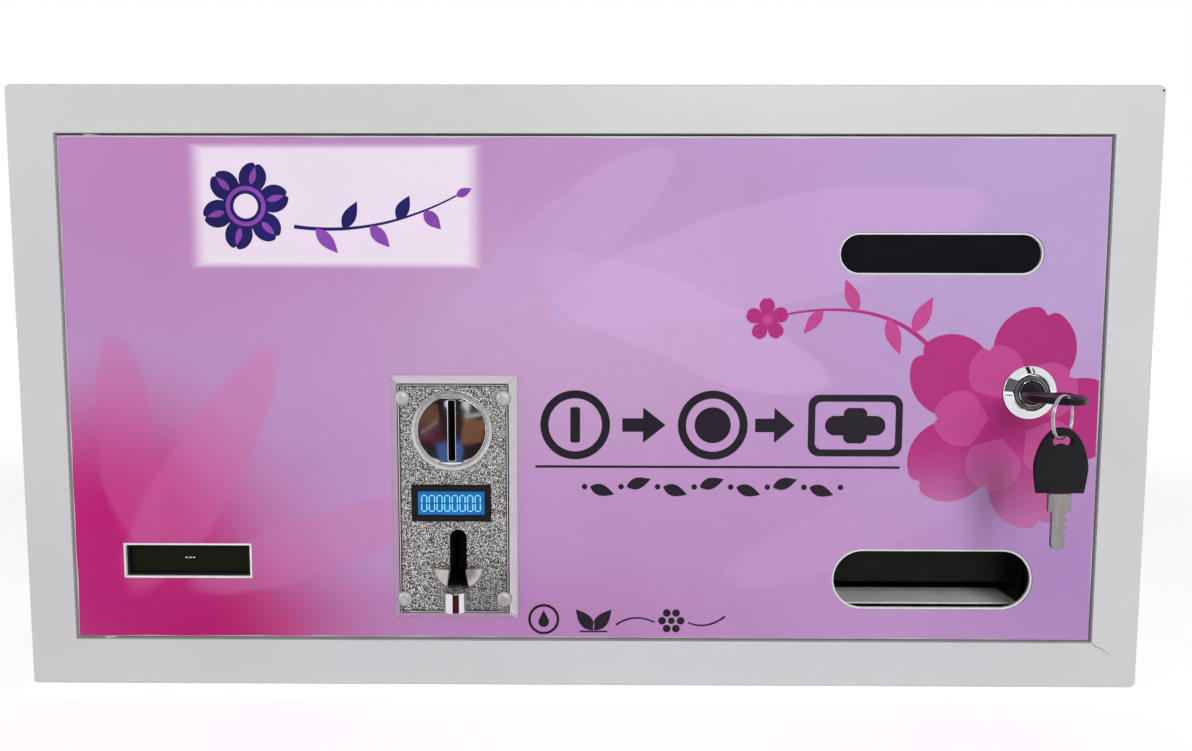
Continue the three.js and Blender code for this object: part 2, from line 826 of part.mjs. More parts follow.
// Folded sheet: a landing behind the outlet slot, a slope up to the spiral's end and two cheeks
function buildChute(parent) {
  const left = outletSlotX - chuteHalfWidth;
  const right = outletSlotX + chuteHalfWidth;
  const slide = outlineOf([
    [landingFrontY, landingZ],
    [landingFrontY, landingZ - sheet],
    [landingBackY + sheet, landingZ - sheet],
    [chuteBackY + sheet, chuteSlopeTopZ],
    [chuteBackY + sheet, chuteTopZ],
    [chuteBackY, chuteTopZ],
    [chuteBackY, chuteSlopeTopZ + sheet],
    [landingBackY, landingZ],
  ]);
  const footZ = floorTop + seatGap;
  const cheek = outlineOf([
    [landingFrontY, footZ],
    [landingBackY + sheet, footZ],
    [landingBackY + sheet, landingZ - sheet],
    [chuteBackY + sheet, chuteSlopeTopZ],
    [chuteBackY + sheet, chuteTopZ],
    [chuteMouthY, chuteTopZ],
    [chuteMouthY, chuteMouthZ + sheet],
    [landingFrontY, chuteMouthZ + sheet],
  ]);
  const rodHole = circle(flapAxisY, flapAxisZ, flapRodRadius + pivotClearance, smallSides);
  const cheeks = joined([prismX(cheek, left, left + sheet), prismX(cheek, right - sheet, right)]);
  const chute = joined([
    cheeks.subtract(prismX(rodHole, left - overrun, right + overrun)),
    prismX(slide, left + sheet * half, right - sheet * half),
    block(left, right, chuteMouthY, chuteMouthY + sheet, chuteMouthZ, chuteTopZ),
    block(left, right, landingFrontY, chuteMouthY + sheet, chuteMouthZ, chuteMouthZ + sheet),
    block(left - chuteFootWidth, left + sheet, landingFrontY, landingBackY + sheet, footZ, footZ + sheet),
    block(right - sheet, right + chuteFootWidth, landingFrontY, landingBackY + sheet, footZ, footZ + sheet),
  ]);
  piece("delivery_chute", chute, galvanised, parent);

  const rodSolid = rod(flapRodRadius, left - sheet, right + sheet, smallSides, axisX);
  piece("flap_rod", rodSolid, steel, parent).position.set(0, flapAxisY, flapAxisZ);

  const flapGroup = new THREE.Group();
  flapGroup.position.set(0, flapAxisY, flapAxisZ);
  parent.add(flapGroup);
  const inner = [left + sheet + flapSideGap, right - sheet - flapSideGap];
  const barrel = circle(0, 0, flapBarrelRadius, smallSides);
  const leaf = rectangle(-sheet * half, sheet * half, -flapLength, -flapBarrelRadius * half);
  const bore = circle(0, 0, flapRodRadius + seatGap, smallSides);
  const flap = joined([prismX(barrel, ...inner), prismX(leaf, ...inner)]);
  piece("delivery_flap", flap.subtract(prismX(bore, left, right)), blackPlastic, flapGroup);
}

function buildPowerSupply(parent) {
  const right = supplyX + supplyWidth;
  const back = supplyY + supplyDepth;
  const bottom = floorTop + seatGap;
  const top = bottom + supplyHeight;
  const endX = right - supplyEndLength;
  const vents = Array.from({ length: supplyVentCount }, (_, i) => {
    const pitch = (supplyWidth - supplyEndLength) / (supplyVentCount + 1);
    const x = supplyX + pitch * (i + 1);
    const middle = (supplyY + back) * half;
    const span = supplyVentLength * half;
    const x0 = x - supplyVentWidth * half;
    const ventBottom = top - supplyVentDepth;
    return block(x0, x0 + supplyVentWidth, middle - span, middle + span, ventBottom, top + overrun);
  });
  const ledge = bottom + supplyEndHeight;
  const notch = block(endX, right + overrun, supplyY - overrun, back + overrun, ledge, top + overrun);
  const body = cut(block(supplyX, right, supplyY, back, bottom, top), [notch, ...vents]);
  piece("power_supply_case", body, galvanised, parent);

  const stripBottom = bottom + supplyEndHeight + seatGap;
  const stripLeft = endX + seatGap;
  const stripPitch = (supplyDepth - terminalNotch) / terminalCount;
  const stripTop = stripBottom + terminalHeight;
  const strip = block(stripLeft, right - sheet, supplyY + sheet, back - sheet, stripBottom, stripTop);
  const bays = Array.from({ length: terminalCount }, (_, i) => {
    const y = supplyY + sheet + terminalNotch + i * stripPitch;
    const bayEnd = Math.min(y + stripPitch - terminalNotch * 2, back - sheet - terminalNotch);
    return block(stripLeft + sheet * 2, right, y, bayEnd, stripBottom + sheet * 2, stripTop + overrun);
  });
  piece("terminal_block", cut(strip, bays), blackPlastic, parent);
}

function buildController(parent) {
  const boardBack = cabinetDepth - sheet - controllerSpacer - seatGap;
  const boardFace = boardBack - boardThickness;
  const right = controllerX + controllerWidth;
  const top = controllerZ + controllerHeight;
  const board = block(controllerX, right, boardFace, boardBack, controllerZ, top);
  piece("controller_board", board, greenBoard, parent);
  const seat = boardFace - seatGap;
  const relayX = controllerX + relayWidth;
  const relayZ = controllerZ + relayHeight;
  const relay = block(relayX, relayX + relayWidth, seat - relayDepth, seat, relayZ, relayZ + relayHeight);
  piece("relay", relay, bluePlastic, parent);
  const capacitor = rod(capacitorRadius, seat - capacitorLength, seat, smallSides, axisY);
  piece("capacitor", capacitor, blackPlastic, parent).position.set(right - relayWidth, 0, relayZ);
  const chipX = controllerX + controllerWidth * half;
  const chipZ = controllerZ + (controllerHeight - chipHeight) * half;
  const chip = block(chipX, chipX + chipWidth, seat - chipDepth, seat, chipZ, chipZ + chipHeight);
  piece("controller_chip", chip, blackPlastic, parent);
}

function buildCoinBox(parent) {
  const left = coinBoxX - coinBoxWidth * half;
  const right = coinBoxX + coinBoxWidth * half;
  const back = coinBoxFrontY + coinBoxDepth;
  const bottom = floorTop + seatGap;
  const wall = sheet + seatGap;
  const bracket = cut(
    block(left - wall, right + wall, coinBoxFrontY - wall, back + wall, bottom, bottom + bracketWallHeight),
    [
      block(
        left - seatGap,
        right + seatGap,
        coinBoxFrontY - seatGap,
        back + seatGap,
        bottom + sheet,
        bottom + bracketWallHeight + overrun,
      ),
    ],
  );
  piece("coin_box_bracket", bracket, galvanised, parent);

  const group = new THREE.Group();
  group.position.set(coinBoxX, coinBoxFrontY, bottom + sheet + seatGap);
  parent.add(group);
  const halfWidth = coinBoxWidth * half;
  const innerX = halfWidth - sheet;
  const outer = block(-halfWidth, halfWidth, 0, coinBoxDepth, 0, coinBoxHeight);
  const grip = roundEnded(0, coinBoxHeight - coinBoxGripHeight, coinBoxGripWidth, coinBoxGripHeight);
  const box = cut(outer, [
    block(-innerX, innerX, sheet, coinBoxDepth - sheet, sheet, coinBoxHeight + overrun),
    block(-innerX, innerX, -overrun, sheet + overrun, coinBoxFrontHeight, coinBoxHeight + overrun),
    prismY(grip, coinBoxDepth - sheet - overrun, coinBoxDepth + overrun),
  ]);
  piece("coin_box", box, galvanised, group);
}

// Places of the four studs that hold the text display's board
function studPlaces() {
  const u = displayBoardWidth * half - boardStudInset;
  const v = displayBoardHeight * half - boardStudInset;
  return [
    [-u, -v],
    [u, -v],
    [-u, v],
    [u, v],
  ].map(([x, z]) => [textDisplayX + x, textDisplayZ + z]);
}

function boltPlaces() {
  return [
    [-boltSpreadX, boltSpreadZ],
    [boltSpreadX, boltSpreadZ],
    [-boltSpreadX, -boltSpreadZ],
    [boltSpreadX, -boltSpreadZ],
  ];
}

// The openings that the door and its print share; the print's are wider by the margin
function doorCuts(y0, y1, margin) {
  const grow = margin * 2;
  const slots = [
    roundEnded(windowSlotX, windowSlotZ, windowSlotWidth + grow, windowSlotHeight + grow),
    roundEnded(outletSlotX, outletSlotZ, outletSlotWidth + grow, outletSlotHeight + grow),
    rectangle(
      textDisplayX - displayCutWidth * half - margin,
      textDisplayX + displayCutWidth * half + margin,
      textDisplayZ - displayCutHeight * half - margin,
      textDisplayZ + displayCutHeight * half + margin,
    ),
    rectangle(
      acceptorX - bodyNeckWidth * half - seatGap,
      acceptorX + bodyNeckWidth * half + seatGap,
      acceptorZ - bodyNeckHeight * half - seatGap,
      acceptorZ + bodyNeckHeight * half + seatGap,
    ),
    circle(lockX, lockZ, lockBarrelRadius + seatGap, plainSides),
    ...boltPlaces().map(([x, z]) =>
      circle(acceptorX + x, acceptorZ + z, boltShankRadius + seatGap, arcSteps),
    ),
  ];
  return slots.map((outline) => prismY(outline, y0, y1));
}

function buildDoorPanel(parent) {
  const pan = block(doorLeft, doorRight, doorFace, doorRear, doorBottom, doorTop).subtract(
    block(
      doorLeft + sheet,
      doorRight - sheet,
      doorBack,
      doorRear + overrun,
      doorBottom + sheet,
      doorTop - sheet,
    ),
  );
  const pinHole = circle(hingeX, hingeY, hingePinRadius + pivotClearance, smallSides);
  const studEnd = insideDoor + bezelDepth;
  const studs = studPlaces().map(([x, z]) =>
    prismY(circle(x, z, boardStudRadius, arcSteps), doorFace + sheet * half, studEnd),
  );
  const door = cut(pan, [
    ...doorCuts(doorFace - overrun, doorBack + overrun, 0),
    prismZ(pinHole, doorBottom - overrun, doorBottom + sheet + overrun),
    prismZ(pinHole, doorTop - sheet - overrun, doorTop + overrun),
  ]);
  piece("door_panel", joined([door, ...studs]), paint, parent);

  const skin = block(
    doorLeft + vinylInset,
    doorRight - vinylInset,
    vinylFace,
    vinylBack,
    doorBottom + vinylInset,
    doorTop - vinylInset,
  );
  const skinCuts = doorCuts(vinylFace - overrun, vinylBack + overrun, cutEdge);
  piece("vinyl_graphic", cut(skin, skinCuts), print, parent);

  const top = doorTop - sheet - stiffenerEndGap;
  const bottom = doorBottom + sheet + stiffenerEndGap;
  const ridge = outlineOf([
    [0, insideDoor],
    [stiffenerFlange, insideDoor],
    [stiffenerFlange, insideDoor + stiffenerDepth - sheet],
    [stiffenerFlange + stiffenerWidth, insideDoor + stiffenerDepth - sheet],
    [stiffenerFlange + stiffenerWidth, insideDoor],
    [stiffenerFlange * 2 + stiffenerWidth, insideDoor],
    [stiffenerFlange * 2 + stiffenerWidth, insideDoor + sheet],
    [stiffenerFlange + stiffenerWidth + sheet, insideDoor + sheet],
    [stiffenerFlange + stiffenerWidth + sheet, insideDoor + stiffenerDepth],
    [stiffenerFlange - sheet, insideDoor + stiffenerDepth],
    [stiffenerFlange - sheet, insideDoor + sheet],
    [0, insideDoor + sheet],
  ]);
  const stiffener = piece("door_stiffener", prismZ(ridge, bottom, top), galvanised, parent);
  stiffener.position.x = stiffenerX - stiffenerFlange - stiffenerWidth * half;
}

function buildWindow(parent) {
  const spanZ = windowSlotHeight * half + windowPlateMargin;
  const plate = block(
    windowSlotX - windowPlateSpan,
    windowSlotX + windowPlateSpan,
    insideDoor,
    insideDoor + windowPlateThickness,
    windowSlotZ - spanZ,
    windowSlotZ + spanZ,
  );
  piece("view_window", plate, smoked, parent);
}

function buildTextDisplay(door) {
  const display = new THREE.Group();
  display.position.set(textDisplayX, insideDoor, textDisplayZ);
  door.add(display);
  const viewX = bezelViewWidth * half;
  const viewZ = bezelViewHeight * half;
  const outer = block(
    -bezelWidth * half,
    bezelWidth * half,
    0,
    bezelDepth,
    -bezelHeight * half,
    bezelHeight * half,
  );
  const bezel = outer.subtract(block(-viewX, viewX, -overrun, bezelDepth + overrun, -viewZ, viewZ));
  piece("lcd_bezel", bezel, blackPlastic, display);
  const glassBack = displayGlassSetback + displayGlassThickness;
  const glass = block(
    seatGap - viewX,
    viewX - seatGap,
    displayGlassSetback,
    glassBack,
    seatGap - viewZ,
    viewZ - seatGap,
  );
  piece("lcd_glass", glass, smoked, display);
  const boardFace = bezelDepth + seatGap;
  const board = block(
    -displayBoardWidth * half,
    displayBoardWidth * half,
    boardFace,
    boardFace + boardThickness,
    -displayBoardHeight * half,
    displayBoardHeight * half,
  );
  piece("lcd_board", board, greenBoard, display);
}

// The return slot: a straight channel that flares out at its foot
function returnSlot(margin) {
  const halfWidth = returnSlotWidth * half + margin;
  const flare = returnFlareWidth * half + margin;
  const bottom = returnSlotBottom - margin;
  const shoulder = returnSlotBottom + returnFlareHeight;
  return outlineOf([
    [returnShiftX - flare, bottom],
    [returnShiftX + flare, bottom],
    [returnShiftX + halfWidth, shoulder],
    ...arcPoints(returnShiftX, returnSlotTop - returnSlotWidth * half, halfWidth, 0, Math.PI, arcSteps),
    [returnShiftX - halfWidth, shoulder],
  ]);
}

// A shallow half bowl with an open flat top, parted by the slot down to a web at its foot
function returnCup(front) {
  const outer = new THREE.SphereGeometry(cupRadius, plainSides, smallSides);
  const inner = new THREE.SphereGeometry(cupRadius - cupWall, plainSides, smallSides);
  const [shell, hollow] = [outer, inner].map((geometry, i) => {
    const depth = cupDepth - i * cupWall;
    const radius = cupRadius - i * cupWall;
    geometry.rotateX(quarterTurn);
    geometry.scale(1, depth / radius, cupSquashShare);
    geometry.translate(returnShiftX, front, cupTop);
    return solidOf(geometry);
  });
  const left = returnShiftX - cupRadius - overrun;
  const right = returnShiftX + cupRadius + overrun;
  const lowest = cupTop - cupRadius - overrun;
  const keepFront = block(left, right, front - cupDepth - overrun, front, lowest, cupTop);
  const channel = prismY(returnSlot(0), front - cupDepth - overrun, front + overrun);
  return shell.subtract(hollow).intersect(keepFront).subtract(channel);
}

function buildAcceptor(door) {
  const acceptor = new THREE.Group();
  acceptor.position.set(acceptorX, 0, acceptorZ);
  door.add(acceptor);
  const rimFront = mountFace - rimRise;
  const panelFace = rimFront + panelSetback;
  const plateBack = mountFace;
  const innerX = plateWidth * half - rimWidth;
  const innerZ = plateHeight * half - rimWidth;
  const panelX = innerX - panelSetback;
  const panelZ = innerZ - panelSetback;
  const hollowX = panelX - plateWall;
  const hollowZ = panelZ - plateWall;
  const hollowFront = panelFace + plateWall;
  const boss = turned(
    [
      [0, 0],
      [bossRadius, 0],
      [bossRadius * Math.cos(quarterTurn * half), bossRise * Math.sin(quarterTurn * half)],
      [0, bossRise],
    ],
    smallSides,
    new THREE.Vector3(0, -1, 0),
  );
  const ringFront = panelFace - buttonRingRise;
  const buttonHole = circle(buttonShiftX, buttonShiftZ, buttonRadius + seatGap, fineSides);
  const frameHole = rectangle(
    statusShiftX - statusFrameWidth * half - seatGap,
    statusShiftX + statusFrameWidth * half + seatGap,
    statusShiftZ - statusFrameHeight * half - seatGap,
    statusShiftZ + statusFrameHeight * half + seatGap,
  );
  const boltHole = boltShankRadius + seatGap;
  const ringOutline = circle(buttonShiftX, buttonShiftZ, buttonRingRadius, fineSides);
  const ring = prismY(ringOutline, ringFront, hollowFront);
  const boltBosses = boltPlaces().map(([x, z]) =>
    prismY(circle(x, z, boltHeadRadius, smallSides), panelFace, plateBack),
  );
  const shell = cut(bevelledBlock(plateWidth * half, plateHeight * half, plateBack, rimFront, rimWidth), [
    block(-panelX, panelX, rimFront - overrun, panelFace, -panelZ, panelZ),
    block(-hollowX, hollowX, hollowFront, plateBack + overrun, -hollowZ, hollowZ),
    ...boltPlaces().map(([x, z]) =>
      prismY(circle(x, z, boltHeadRadius + seatGap, smallSides), rimFront - overrun, panelFace),
    ),
  ]);
  const whole = joined([shell, ring, moved(boss, bossShiftX, panelFace, bossShiftZ), ...boltBosses]);
  const plate = cut(whole, [
    prismY(buttonHole, ringFront - overrun, plateBack + overrun),
    prismY(frameHole, rimFront - overrun, plateBack + overrun),
    prismY(returnSlot(0), rimFront - overrun, plateBack + overrun),
    ...boltPlaces().map(([x, z]) =>
      prismY(circle(x, z, boltHole, arcSteps), rimFront, plateBack + overrun),
    ),
  ]);
  piece("acceptor_front_plate", plate, zinc, acceptor);

  boltPlaces().forEach(([x, z], i) => {
    const seat = panelFace - seatGap;
    const dome = arcPoints(0, 0, 1, 0, quarterTurn, 3).map(([u, v]) => [
      boltHeadRadius * u,
      boltHeadHeight * v,
    ]);
    const profile = [
      [0, -boltShankLength],
      [boltShankRadius, -boltShankLength],
      [boltShankRadius, 0],
      ...dome.slice(0, -1),
      [0, boltHeadHeight],
    ];
    const bolt = turned(profile, smallSides, new THREE.Vector3(0, -1, 0));
    piece(`acceptor_bolt_${i + 1}`, bolt, zinc, acceptor).position.set(x, seat, z);
  });

  const frameX = statusFrameWidth * half;
  const frameZ = statusFrameHeight * half;
  const lensX = statusLensWidth * half;
  const lensZ = statusLensHeight * half;
  const status = new THREE.Group();
  status.position.set(statusShiftX, panelFace - statusFrameRise, statusShiftZ);
  acceptor.add(status);
  const frame = block(-frameX, frameX, 0, statusFrameDepth + statusFrameRise, -frameZ, frameZ).subtract(
    block(
      -lensX - seatGap,
      lensX + seatGap,
      -overrun,
      statusFrameDepth,
      -lensZ - seatGap,
      lensZ + seatGap,
    ),
  );
  piece("display_frame", frame, blackPlastic, status);
  const lens = block(-lensX, lensX, statusLensSetback, statusFrameDepth - seatGap, -lensZ, lensZ);
  piece("display_lens", lens, blueLit, status);

  piece("return_cup", returnCup(panelFace - seatGap), zinc, acceptor);
  const spoutAxis = panelFace - seatGap;
  const spoutOuter = arcPoints(spoutShiftX, spoutAxis, spoutRadius, -Math.PI, 0, smallSides);
  const spoutInner = arcPoints(spoutShiftX, spoutAxis, spoutRadius - spoutWall, 0, -Math.PI, arcSteps);
  const spout = prismZ(outlineOf([...spoutOuter, ...spoutInner]), spoutBottom, spoutTop);
  piece("return_spout", spout, chrome, acceptor);
  buildAcceptorBody(acceptor);
  return acceptor;
}

class HelixCurve extends THREE.Curve {
  constructor(radius, turns, length) {
    super();
    Object.assign(this, { radius, turns, length });
  }

  getPoint(share) {
    const angle = share * this.turns * fullTurn;
    const along = share * this.length;
    return new THREE.Vector3(this.radius * Math.cos(angle), along, this.radius * Math.sin(angle));
  }
}

function buildAcceptorBody(acceptor) {
  const halfWidth = bodyWidth * half;
  const neckX = bodyNeckWidth * half;
  const neckZ = bodyNeckHeight * half;
  const buttonBack = mountFace - rimRise + panelSetback - buttonProud + buttonThickness;
  const neckFront = buttonBack + buttonTravel + seatGap;
  const spring = [buttonShiftX + springShiftX, buttonShiftZ];
  const pocketEnd = neckFront + springSeatDepth;
  const main = block(-halfWidth, halfWidth, bodyFront, bodyBack, bodyBottomShift, bodyTopShift);
  const buttonRoom = prismY(
    circle(buttonShiftX, buttonShiftZ, buttonRadius + seatGap, fineSides),
    -overrun,
    neckFront,
  );
  const neckStart = mountFace + seatGap;
  const neck = block(-neckX, neckX, neckStart, bodyFront + overrun, -neckZ, neckZ).subtract(buttonRoom);
  const coinWay = block(
    buttonShiftX - coinSlotWidth * half,
    buttonShiftX + coinSlotWidth * half,
    -overrun,
    bodyBack * half,
    buttonShiftZ - coinSlotHeight * half,
    buttonShiftZ + coinSlotHeight * half,
  );
  const returnPocket = prismY(returnSlot(0), -overrun, bodyFront + returnPocketDepth);
  const gateTop = gateHingeShiftZ + gateBarrelRadius + seatGap;
  const gateY0 = (bodyFront + bodyBack - gateDepth) * half;
  const gateY1 = gateY0 + gateDepth;
  const recess = block(
    halfWidth - gateRecess,
    halfWidth + overrun,
    gateY0 - seatGap,
    gateY1 + seatGap,
    gateTop - gateHeight - seatGap * 2,
    gateTop,
  );
  const ribs = Array.from({ length: ribCount }, (_, i) => {
    const pitch = (bodyTopShift - bodyBottomShift) / (ribCount + 1);
    const z = bodyBottomShift + pitch * (i + 1);
    return block(-halfWidth - ribRise, -halfWidth + ribRise, bodyFront, bodyBack, z, z + ribWidth);
  });
  const pinX = halfWidth - gateRecess + gateBarrelRadius + seatGap;
  const earReach = ribWidth * 2 + seatGap + overrun;
  const pinHole = moved(
    rod(gatePinRadius + pivotClearance, gateY0 - earReach, gateY1 + earReach, arcSteps, axisY),
    pinX,
    0,
    gateHingeShiftZ,
  );
  const ears = [gateY0 - ribWidth * 2 - seatGap, gateY1 + seatGap].map((y) =>
    block(
      halfWidth - overrun,
      pinX + gateBarrelRadius,
      y,
      y + ribWidth * 2,
      gateHingeShiftZ - gateBarrelRadius,
      gateHingeShiftZ + gateBarrelRadius,
    ),
  );
  const springPocket = moved(
    rod(springPocketRadius, neckFront - overrun, pocketEnd, smallSides, axisY),
    spring[0],
    0,
    spring[1],
  );
  const hollows = [coinWay, returnPocket, recess, springPocket, pinHole];
  const housing = cut(joined([main, neck, ...ribs, ...ears]), hollows);
  piece("acceptor_housing", housing, blackPlastic, acceptor);

  const pin = rod(gatePinRadius, gateY0 - ribWidth * 2, gateY1 + ribWidth * 2, arcSteps, axisY);
  piece("gate_pin", pin, steel, acceptor).position.set(pinX, 0, gateHingeShiftZ);

  const gate = new THREE.Group();
  gate.position.set(pinX, 0, gateHingeShiftZ);
  acceptor.add(gate);
  const leafInner = -gateBarrelRadius;
  const barrel = rod(gateBarrelRadius, gateY0, gateY1, smallSides, axisY);
  const leaf = block(
    leafInner,
    leafInner + gateThickness,
    gateY0,
    gateY1,
    gateBarrelRadius - gateHeight,
    -gateBarrelRadius * half,
  );
  const bore = rod(gatePinRadius + seatGap, gateY0 - overrun, gateY1 + overrun, arcSteps, axisY);
  piece("acceptor_gate", joined([barrel, leaf]).subtract(bore), bluePlastic, gate);

  const circuitX = circuitWidth * half;
  const circuitZ = (bodyTopShift + bodyBottomShift) * half;
  const circuit = block(
    -circuitX,
    circuitX,
    bodyBack + seatGap,
    bodyBack + seatGap + boardThickness,
    circuitZ - circuitHeight * half,
    circuitZ + circuitHeight * half,
  );
  piece("acceptor_circuit_board", circuit, greenBoard, acceptor);

  const springStart = buttonBack + springWireRadius + seatGap;
  const springEnd = pocketEnd - springWireRadius - seatGap;
  const helix = new HelixCurve(springRadius, springTurns, springEnd - springStart);
  const springSteps = springTurns * smallSides;
  const coil = woundTube("reject_spring", helix, springSteps, springWireRadius, 5, smallSides);
  piece("reject_spring", coil, steel, acceptor).position.set(spring[0], springStart, spring[1]);

  const button = new THREE.Group();
  button.position.set(buttonShiftX, buttonBack - buttonThickness, buttonShiftZ);
  acceptor.add(button);
  const disc = turned(
    [
      [0, 0],
      [buttonRadius - panelSetback, 0],
      [buttonRadius, panelSetback],
      [buttonRadius, buttonThickness],
      [0, buttonThickness],
    ],
    fineSides,
    axisY,
  );
  const slot = block(
    -coinSlotWidth * half,
    coinSlotWidth * half,
    -overrun,
    buttonThickness + overrun,
    -coinSlotHeight * half,
    coinSlotHeight * half,
  );
  piece("reject_button", disc.subtract(slot), chrome, button);

  const under = bodyBottomShift - seatGap;
  const width = deflectorWidth * half;
  const floor = outlineOf([
    [deflectorFrontY, under - deflectorRise],
    [deflectorFrontY, under - deflectorRise - sheet],
    [deflectorBackY, under - deflectorDrop - sheet],
    [deflectorBackY, under - deflectorDrop],
  ]);
  const cheek = outlineOf([
    [deflectorFrontY, under],
    [deflectorFrontY, under - deflectorRise - sheet],
    [deflectorBackY, under - deflectorDrop - sheet],
    [deflectorBackY, under - deflectorRise],
    [bodyBack, under],
  ]);
  const deflector = joined([
    prismX(floor, -width, width),
    prismX(cheek, -width - sheet, -width + sheet * half),
    prismX(cheek, width - sheet * half, width + sheet),
  ]);
  piece("coin_deflector", deflector, galvanised, acceptor);
}

function buildLockHousing(door) {
  const lock = new THREE.Group();
  lock.position.set(lockX, 0, lockZ);
  door.add(lock);
  const back = mountFace;
  const front = back - lockFlangeDepth;
  const headBore = plugHeadRadius + seatGap;
  const bore = plugShankRadius + seatGap;
  const step = back - seatGap;
  const housing = turned(
    [
      [headBore, front],
      [lockRimRadius, front],
      [lockFlangeRadius, back - sheet],
      [lockFlangeRadius, back],
      [lockBarrelRadius, back],
      [lockBarrelRadius, lockBarrelLength],
      [bore, lockBarrelLength],
      [bore, step],
      [headBore, step],
      [headBore, front],
    ],
    fineSides,
    axisY,
  );
  piece("lock_housing", housing, chrome, lock);
  const nutRadius = (lockNutAcross * half) / Math.cos(fullTurn / smallSides);
  const hexagon = circle(0, 0, nutRadius, 6);
  const hole = circle(0, 0, lockBarrelRadius + seatGap, plainSides);
  const nut = prismY(hexagon, insideDoor, insideDoor + lockNutDepth).subtract(
    prismY(hole, insideDoor - overrun, insideDoor + lockNutDepth + overrun),
  );
  piece("lock_nut", nut, steel, lock);
  return lock;
}

function buildPlug(lock) {
  const front = mountFace - lockFlangeDepth + plugHeadSetback;
  const headBack = mountFace - seatGap * 2;
  const shankEnd = lockBarrelLength + seatGap * 2;
  const tailEnd = shankEnd + camThickness + seatGap;
  const screwStart = tailEnd - camScrewShankLength;
  const body = turned(
    [
      [0, front - plugFaceRise],
      [plugFaceRadius - plugFaceRise, front - plugFaceRise],
      [plugFaceRadius, front],
      [plugHeadRadius, front],
      [plugHeadRadius, headBack],
      [plugShankRadius, headBack],
      [plugShankRadius, shankEnd],
      [plugTailRadius, shankEnd],
      [plugTailRadius, tailEnd],
      [0, tailEnd],
    ],
    plainSides,
    axisY,
  );
  const keyway = block(
    -bladeWidth * half - seatGap,
    bladeWidth * half + seatGap,
    front - overrun,
    bladeLength - keyOutreach + seatGap,
    -bladeThickness * half - seatGap,
    bladeThickness * half + seatGap,
  );
  const boreRadius = camScrewShankRadius + pivotClearance;
  const screwBore = rod(boreRadius, screwStart - seatGap, tailEnd + overrun, arcSteps, axisY);
  piece("lock_plug", cut(body, [keyway, screwBore]), blackPlastic, lock);

  const camFront = shankEnd + seatGap;
  const camBack = camFront + camThickness;
  const reach = camLength - camTipWidth * half;
  const outline = outlineOf([
    ...arcPoints(0, 0, camWidth * half, 0, Math.PI, arcSteps),
    ...arcPoints(0, -reach, camTipWidth * half, Math.PI, fullTurn, arcSteps),
  ]);
  const cam = prismY(outline, camFront, camBack).subtract(
    rod(plugTailRadius + pivotClearance, camFront - overrun, camBack + overrun, smallSides, axisY),
  );
  piece("lock_cam", cam, steel, lock);
  const headFrom = Math.max(camBack, tailEnd) + seatGap;
  const screw = turned(
    [
      [0, screwStart],
      [camScrewShankRadius, screwStart],
      [camScrewShankRadius, headFrom],
      [camScrewRadius, headFrom],
      [camScrewRadius, headFrom + camScrewHeight * half],
      [camScrewRadius - camScrewHeight * half, headFrom + camScrewHeight],
      [0, headFrom + camScrewHeight],
    ],
    smallSides,
    axisY,
  );
  piece("cam_screw", screw, steel, lock);
}

// The grip of a key, drawn with its foot at the origin and carried across its thickness
function keyBow() {
  const side = bowOutlineShares.map(([u, v]) => [u * bowWidth, v * bowLength]);
  const mirrored = side.map(([u, v]) => [-u, v]).reverse();
  const holeZ = bowLength - bowRim - bowHoleHeight * half;
  const thick = bowThickness * half;
  return prismY(outlineOf([...side, ...mirrored]), -thick, thick).subtract(
    prismY(roundEnded(0, holeZ, bowHoleWidth, bowHoleHeight), -thick - overrun, thick + overrun),
  );
}

// The blade of a key below the grip: a shoulder, then a narrower stem cut with teeth on one edge
function keyBlade() {
  const shoulder = bladeShoulderWidth * half;
  const stem = bladeWidth * half;
  const tip = bladeLength - stem;
  const cutLength = tip - bladeShoulderLength;
  const pitch = cutLength / bladeToothCount;
  const teeth = Array.from({ length: bladeToothCount }, (_, i) => [
    [stem, -bladeShoulderLength - pitch * i],
    [stem - bladeToothDepth, -bladeShoulderLength - pitch * (i + half)],
  ]).flat();
  const outline = outlineOf([
    [-shoulder, -seatGap],
    [-shoulder, -bladeShoulderLength],
    [-stem, -bladeShoulderLength],
    ...arcPoints(0, -tip, stem, Math.PI, fullTurn, arcSteps),
    ...teeth.reverse(),
    [shoulder, -bladeShoulderLength],
    [shoulder, -seatGap],
  ]);
  return prismY(outline, -bladeThickness * half, bladeThickness * half);
}

function addKey(parent, prefix) {
  piece(`${prefix}_bow`, keyBow(), blackPlastic, parent);
  piece(`${prefix}_blade`, keyBlade(), steel, parent);
}

